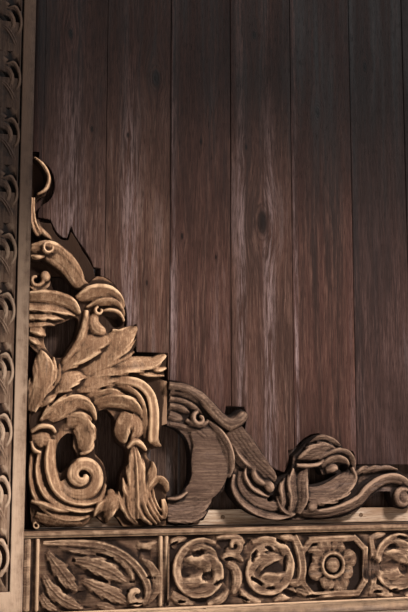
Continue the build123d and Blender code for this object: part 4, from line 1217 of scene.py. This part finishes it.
class Finish:
    """One material and short ways to add its nodes."""

    def __init__(self, name):
        self.material = bpy.data.materials.new(name)
        self.material.use_nodes = True
        self.tree = self.material.node_tree
        self.shader = self.tree.nodes["Principled BSDF"]
        self.place = self.add("ShaderNodeTexCoord").outputs["Object"]

    def add(self, kind, inputs=(), **settings):
        """A node with its settings, then its inputs as (name, value or socket)."""
        node = self.tree.nodes.new(kind)
        for key, value in settings.items():
            setattr(node, key, value)
        for key, value in inputs:
            if isinstance(value, bpy.types.NodeSocket):
                self.tree.links.new(value, node.inputs[key])
            else:
                node.inputs[key].default_value = value
        return node

    def number(self, operation, a, b=0.0, c=0.0):
        """The result of one sum on numbers."""
        return self.add("ShaderNodeMath", [(0, a), (1, b), (2, c)], operation=operation).outputs[0]

    def moved(self, scale, shift=(0, 0, 0), source=None):
        """Coordinates stretched and shifted."""
        return self.add("ShaderNodeMapping", [("Vector", source or self.place), ("Scale", scale),
                                              ("Location", shift)]).outputs[0]

    def grain(self, source, scale, detail=4.0, rough=0.55, warp=0.0):
        """A noise from 0 to 1."""
        return self.add("ShaderNodeTexNoise", [("Vector", source), ("Scale", scale),
                                               ("Detail", detail), ("Roughness", rough),
                                               ("Distortion", warp)]).outputs[0]

    def fade(self, value, low, high, start=0.0, end=1.0):
        """A smooth step of a value between two limits."""
        return self.add("ShaderNodeMapRange", [(0, value), (1, low), (2, high), (3, start), (4, end)],
                        interpolation_type="SMOOTHSTEP").outputs[0]

    def mix(self, share, first, second, blend="MIX"):
        """Two colours mixed by a share."""
        return self.add("ShaderNodeMix", [(0, share), (6, first), (7, second)],
                        data_type="RGBA", blend_type=blend).outputs[2]


def colour(red, green, blue):
    """A colour as seen on a screen, from 0 to 255, in linear light."""
    return tuple(c / 12.92 if c <= 0.04045 else ((c + 0.055) / 1.055) ** 2.4
                 for c in (red / 255, green / 255, blue / 255)) + (1.0,)


def dress(piece, material):
    """Gives a piece one material."""
    piece.data.materials.clear()
    piece.data.materials.append(material)


print("a middle grey of 128 is", round(colour(128, 128, 128)[0], 3), "in linear light")

# %% [markdown]
# ## Knots
# Round a knot the grain is pushed aside, and the knot itself has close, dark
# rings. So the coordinate across the grain is drawn towards each knot before
# the noise reads it, and a sine of the distance gives the rings.

# %% Knots


def bend_round_knots(finish, across, up, knots):
    """The coordinate across the grain, bent round knots that are given as
    (across, up, radius) in metres, with the knots' rings and their cores."""
    rings = 0.0
    cores = 0.0
    for knot_x, knot_z, radius in knots:
        from_x = finish.number("SUBTRACT", across, knot_x)
        from_z = finish.number("MULTIPLY", finish.number("SUBTRACT", up, knot_z), 0.42)
        squares = finish.number("ADD", finish.number("MULTIPLY", from_x, from_x),
                                finish.number("MULTIPLY", from_z, from_z))
        far = finish.number("SQRT", squares)
        near = finish.fade(far, 0.0, radius * 3.2, 1.0, 0.0)
        push = finish.number("MULTIPLY", finish.number("MULTIPLY", from_x, near), 0.85)
        across = finish.number("SUBTRACT", across, push)
        wave = finish.number("SINE", finish.number("MULTIPLY", far, 2 * pi / (radius * 0.34)))
        ring = finish.number("MULTIPLY", wave, finish.fade(far, 0, radius * 1.7, 1, 0))
        rings = finish.number("ADD", rings, ring)
        cores = finish.number("ADD", cores, finish.fade(far, radius * 0.15, radius * 0.8, 1, 0))
    return across, rings, cores


print("a knot of 10 mm bends the grain for", round(3.2 * 10), "mm round it")

# %% [markdown]
# ## Pale seams
# Water runs down the seams of a door and bleaches the wood beside them. A
# band fades with the distance from an upright line, and the fine grain breaks
# it up, so that it isn't a painted stripe.

# %% Pale seams


def bleach_seams(finish, shade, across, fine, bands):
    """A plank's colour with pale bands, given as (across, width) in metres."""
    for band_x, width in bands:
        far = finish.number("ABSOLUTE", finish.number("SUBTRACT", across, band_x))
        share = finish.number("MULTIPLY", finish.fade(far, 0, width, 0.62, 0),
                              finish.fade(fine, 0.40, 0.60))
        shade = finish.mix(share, shade, colour(146, 122, 118))
    return shade


print("bleached wood is", [round(c, 3) for c in colour(146, 122, 118)[:3]])

# %% [markdown]
# ## Painted shade, dirt and wear
# The deeper a point of a carved piece lies behind its face, the darker its
# wood is painted, as painted shade in the recesses. Carved pieces also read
# the attribute that was stored on their points: the hollows are darkened, as
# dirt and painted shade, and the crests are paled, as wear and a painted
# highlight. A fine noise is added to it first, so that the dark edge is uneven.

# %% Painted shade, dirt and wear


def darker(tone, share):
    """A colour dimmed to a share of itself."""
    return tuple(share * c for c in tone[:3]) + (1,)


def shade_and_age_carving(finish, shade, pale, dark, deep, sunk):
    """A carved piece's colour with painted shade between two depths, dirt and
    painted shade in its hollows, and crests paled by wear and a painted highlight."""
    # Painted shade: wood between the two depths behind the face is darkened, as in the shade of a
    # recess.
    shade = finish.mix(finish.fade(deep, sunk[0], sunk[1], 0, 0.7), shade, dark)
    hollow = finish.add("ShaderNodeAttribute", attribute_name="hollow").outputs["Fac"]
    edge_noise = finish.grain(finish.moved((1, 1, 1)), 60, 5.0, 0.6)
    uneven = finish.number("MULTIPLY", finish.number("SUBTRACT", edge_noise, 0.5), 1.1)
    # worn is how deep in a hollow a point lies: high values are painted dark, as dirt and painted
    # shade, low ones pale, as wear and a painted highlight.
    worn = finish.number("ADD", hollow, uneven)
    shade = finish.mix(finish.fade(worn, -0.1, -0.9, 0, 0.85), shade, pale)
    return finish.mix(finish.fade(worn, 0.0, 0.6, 0, 0.96), shade, darker(dark, 0.25))


# The dark colour of the hollows stands for dirt and painted shade.
print("dirt is", [round(c, 4) for c in darker(colour(78, 50, 33), 0.25)])

# %% [markdown]
# ## The timber recipe
# One recipe serves all timber with different colours. Its grain is noise
# drawn out along the timber, at four scales: broad streaks, fine lines,
# fibres and dark pores. Slower patches let the greyish weathering come and
# go. Planks have knots and pale bands along their seams, and they darken
# upwards, partly by their own staining and partly as painted shade. The fine
# noises also drive a faint bump.

# %% The timber recipe
grain_stretch = 22
grain_relief = 0.0009
least_rough, most_rough = 0.68, 0.90


def timber(name, tones, along="Z", shift=0.0, knots=(), coarse=1.0, high_dark=None,
           figure=1.0, sunk=None, bands=()):
    """Weathered timber with its grain along an axis. tones are its pale,
    middle, dark and streaked colours. shift and coarse place and scale the
    grain, and figure is its contrast. high_dark is a darkening that grows
    between two heights, partly the wood's own colour and partly painted
    shade. sunk is given for carving, as the two depths between which it is
    painted darker as shade, and bands are (across, width) in metres."""
    finish = Finish(name)
    pale, middle, dark, streak = (colour(*tone) for tone in tones)
    split = finish.add("ShaderNodeSeparateXYZ", [(0, finish.place)])
    straight, deep, up = split.outputs
    across, rings, cores = bend_round_knots(finish, straight, up, knots)
    place = finish.add("ShaderNodeCombineXYZ", [(0, across), (1, deep), (2, up)]).outputs[0]
    slow = 1 / grain_stretch
    pull = {"X": (slow, 1, 1), "Y": (1, slow, 1), "Z": (1, 1, slow)}[along]
    drawn = finish.moved(pull, (shift, shift * 0.7, shift * 1.3), place)
    broad = finish.grain(drawn, 34 * coarse, 4.0, 0.6, 0.5)
    fine = finish.grain(drawn, 210 * coarse, 5.0, 0.7, 0.2)
    fibre = finish.grain(drawn, 720 * coarse, 3.0, 0.7)
    dots = finish.moved(tuple(2.2 * p for p in pull), (0, 0, shift), place)
    pores = finish.fade(finish.grain(dots, 420 * coarse, 1.0, 0.5), 0.60, 0.70)
    patches = finish.grain(finish.moved((1, 1, 0.5), (shift, 0, 0)), 5.5, 4.0, 0.55)
    shade = finish.mix(finish.fade(broad, 0.30, 0.62, 1 - figure, 1), dark, middle)
    shade = finish.mix(finish.fade(fine, 0.42, 0.74, 0, figure), shade, pale)
    weathered = finish.number("MULTIPLY", finish.fade(broad, 0.52, 0.66),
                              finish.fade(patches, 0.42, 0.62, 0.1, 0.75))
    shade = finish.mix(weathered, shade, streak)
    shade = bleach_seams(finish, shade, straight, fine, bands)
    shade = finish.mix(finish.fade(fibre, 0.56, 0.36, 0, 0.7 * figure), shade, dark)
    shade = finish.mix(finish.number("MULTIPLY", pores, 0.7 * figure), shade, dark)
    shade = finish.mix(finish.fade(patches, 0.56, 0.34, 0, 0.45), shade, dark)
    height = finish.number("ADD", finish.number("MULTIPLY", fine, 0.6),
                           finish.number("MULTIPLY", fibre, 0.4))
    height = finish.number("SUBTRACT", height, finish.number("MULTIPLY", pores, 0.5))
    if knots:
        shade = finish.mix(finish.fade(rings, 0.1, 0.8, 0, 0.55), shade, dark)
        shade = finish.mix(finish.number("MINIMUM", cores, 0.9), shade, darker(dark, 0.35))
        height = finish.number("ADD", height, finish.number("MULTIPLY", rings, 0.25))
    if sunk:
        shade = shade_and_age_carving(finish, shade, pale, dark, deep, sunk)
    if high_dark:
        low_edge, high_edge, stain_and_shade = high_dark
        # Darker upwards: partly the wood's own staining, partly painted shade at the top.
        stain_and_shade_share = finish.fade(up, low_edge, high_edge, 0, 0.97)
        shade = finish.mix(stain_and_shade_share, shade, stain_and_shade, "MULTIPLY")
    bump = finish.add("ShaderNodeBump", [("Height", height), ("Distance", grain_relief),
                                         ("Strength", 0.8)])
    finish.tree.links.new(shade, finish.shader.inputs["Base Color"])
    finish.tree.links.new(bump.outputs[0], finish.shader.inputs["Normal"])
    finish.tree.links.new(finish.fade(broad, 0.2, 0.8, least_rough, most_rough),
                          finish.shader.inputs["Roughness"])
    finish.shader.inputs["Specular IOR Level"].default_value = 0.1
    return finish.material


trial = timber("trial_timber", [(200, 160, 120)] * 4)
print("the recipe takes", len(trial.node_tree.nodes), "nodes without knots")
bpy.data.materials.remove(trial)

# %% [markdown]
# ## The planks
# Seven sawn planks, no two alike: the left ones are paler, each has its own
# knots, and five have pale bands, placed in the drawing's millimetres. Their
# meshes are the measured ones. A Weld and a Bevel modifier give them the worn
# edges that make the seams show.

# %% Planks
plank_tones = [
    ((116, 88, 76), (87, 60, 49), (47, 28, 21), (116, 98, 94)),
    ((116, 88, 74), (90, 60, 48), (48, 29, 21), (116, 98, 92)),
    ((100, 70, 58), (74, 47, 38), (40, 23, 17), (94, 74, 69)),
    ((106, 77, 65), (80, 53, 43), (43, 26, 19), (104, 84, 79)),
    ((94, 64, 53), (71, 44, 36), (39, 23, 17), (90, 70, 66)),
    ((82, 59, 53), (60, 40, 34), (34, 21, 17), (78, 64, 62)),
    ((72, 53, 48), (53, 37, 33), (31, 20, 17), (70, 58, 57)),
]
plank_knots = {
    1: [(108, 809, 6), (60, 1010, 8)],
    2: [(185, 804, 5), (245, 935, 16), (228, 494, 5)],
    3: [(346, 805, 5), (304, 597, 6), (379, 557, 4)],
    4: [(449, 803, 5), (485, 640, 22), (470, 1060, 8)],
    5: [(523, 577, 5), (620, 900, 10)],
    6: [(656, 703, 7), (740, 1020, 10)],
    7: [(850, 620, 10), (880, 1240, 12)],
}
# The planks darken upwards, partly by their own staining and partly as painted shade at their top.
plank_stain_and_shade = (0.52, 1.22, (0.05, 0.022, 0.012, 1))
plank_bands = {1: [(60, 50)], 2: [(190, 30)], 3: [(282, 14)], 4: [(436, 16), (500, 22)],
               5: [(547, 12), (562, 8)], 6: [], 7: []}
for number, tones in enumerate(plank_tones, start=1):
    knots = [(drawing_left + x / 1000, sill_top + z / 1000, size / 1000)
             for x, z, size in plank_knots[number]]
    bands = [(drawing_left + x / 1000, width / 1000) for x, width in plank_bands[number]]
    wood = timber(f"plank_teak_{number}", tones, shift=3.7 * number, knots=knots,
                  high_dark=plank_stain_and_shade, bands=bands)
    plank = nodes[f"plank_{number}"]
    dress(plank, wood)
    weld = plank.modifiers.new("weld", "WELD")
    weld.merge_threshold = 0.00002
    worn = plank.modifiers.new("worn_edges", "BEVEL")
    worn.width = 0.0022
    worn.segments = 2
    worn.angle_limit = radians(40)
print("planks", len(plank_tones), "with", sum(len(k) for k in plank_knots.values()), "knots")

# %% [markdown]
# ## The carved pieces
# The hinge-side board is warm and pale. Its two neighbours are duller, with
# their grain across. The jambs are greyer and darken upwards, which is
# painted shade at their top, and the sill is a little darker than the
# hinge-side board. Each names the two depths between which its wood is
# painted darker, as shade in the recesses: from the crests down to the ground.

# %% Carved pieces
frame_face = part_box("jamb_left")[0].y
carved_teak = timber("carved_teak", [(214, 172, 134), (148, 110, 82), (78, 50, 33),
                                     (150, 122, 102)], shift=1.3, figure=0.5, sunk=(-0.028, 0.0))
board_teak = timber("board_teak", [(160, 127, 104), (97, 73, 59), (52, 35, 27), (112, 92, 84)],
                    along="X", shift=6.1, coarse=1.4, figure=0.6, sunk=(-0.024, 0.0))
# The jambs' darkening upwards is painted shade at their top.
jamb_teak = timber("jamb_teak", [(190, 158, 132), (144, 113, 90), (80, 54, 40), (146, 128, 114)],
                   shift=5.1, figure=0.8, high_dark=(0.20, 0.92, (0.045, 0.034, 0.03, 1)),
                   sunk=(frame_face + 0.003, frame_face + 0.009))
sill_teak = timber("sill_teak", [(196, 158, 126), (118, 88, 67), (62, 41, 30), (140, 120, 106)],
                   along="X", shift=7.7, figure=0.6,
                   sunk=(rail_low.y + 0.003, rail_low.y + 0.011))
dress(left_piece, carved_teak)
dress(arch_piece, board_teak)
dress(wave_piece, board_teak)
for piece in jamb_pieces:
    dress(piece, jamb_teak)
dress(rail_piece, sill_teak)
print("carved finishes", [m.name for m in (carved_teak, board_teak, jamb_teak, sill_teak)])

# %% [markdown]
# ## The plain timbers
# The ledge is the palest piece, partly its own pale wood and partly painted
# light, for the light that falls on its top. The beams and the battens share
# one finish with the grain along them, the hidden back boards are painted
# dark as painted shade for the deep space behind the openings, and the
# dowels show their ends. The hanging stile is cut from the same wood as the
# planks.

# %% Plain timbers
# The ledge's paleness is partly painted light on its top.
ledge_teak = timber("ledge_teak", [(228, 202, 178), (200, 170, 142), (134, 102, 78),
                                   (206, 190, 176)], along="X", shift=2.9)
beam_teak = timber("beam_teak", [(160, 132, 108), (126, 98, 76), (78, 54, 40), (134, 118, 106)],
                   along="X", shift=9.3)
# The back boards' dark colour is painted shade for the deep space behind the openings.
back_shade_teak = timber("back_shade_teak", [(96, 74, 62), (72, 52, 42), (38, 25, 19), (86, 76, 72)],
                   shift=11.9)
peg_teak = timber("peg_teak", [(150, 120, 96), (112, 84, 62), (60, 40, 28), (120, 104, 92)],
                  along="Y", shift=4.4)
stile_teak = timber("stile_teak", plank_tones[4], shift=15.1, high_dark=plank_stain_and_shade)
dress(nodes["ledge"], ledge_teak)
dress(nodes["ledge_dowels"], peg_teak)
for name in ("base_sill", "threshold", "lintel", "batten_1", "batten_2", "batten_3"):
    dress(nodes[name], beam_teak)
dress(nodes["hanging_stile"], stile_teak)
for number in range(1, 7):
    dress(nodes[f"back_board_{number}"], back_shade_teak)
floor_finish = Finish("studio_floor")
floor_finish.shader.inputs["Base Color"].default_value = (0.72, 0.71, 0.69, 1)
floor_finish.shader.inputs["Roughness"].default_value = 0.9
dress(studio_floor, floor_finish.material)
print("materials", len(bpy.data.materials))
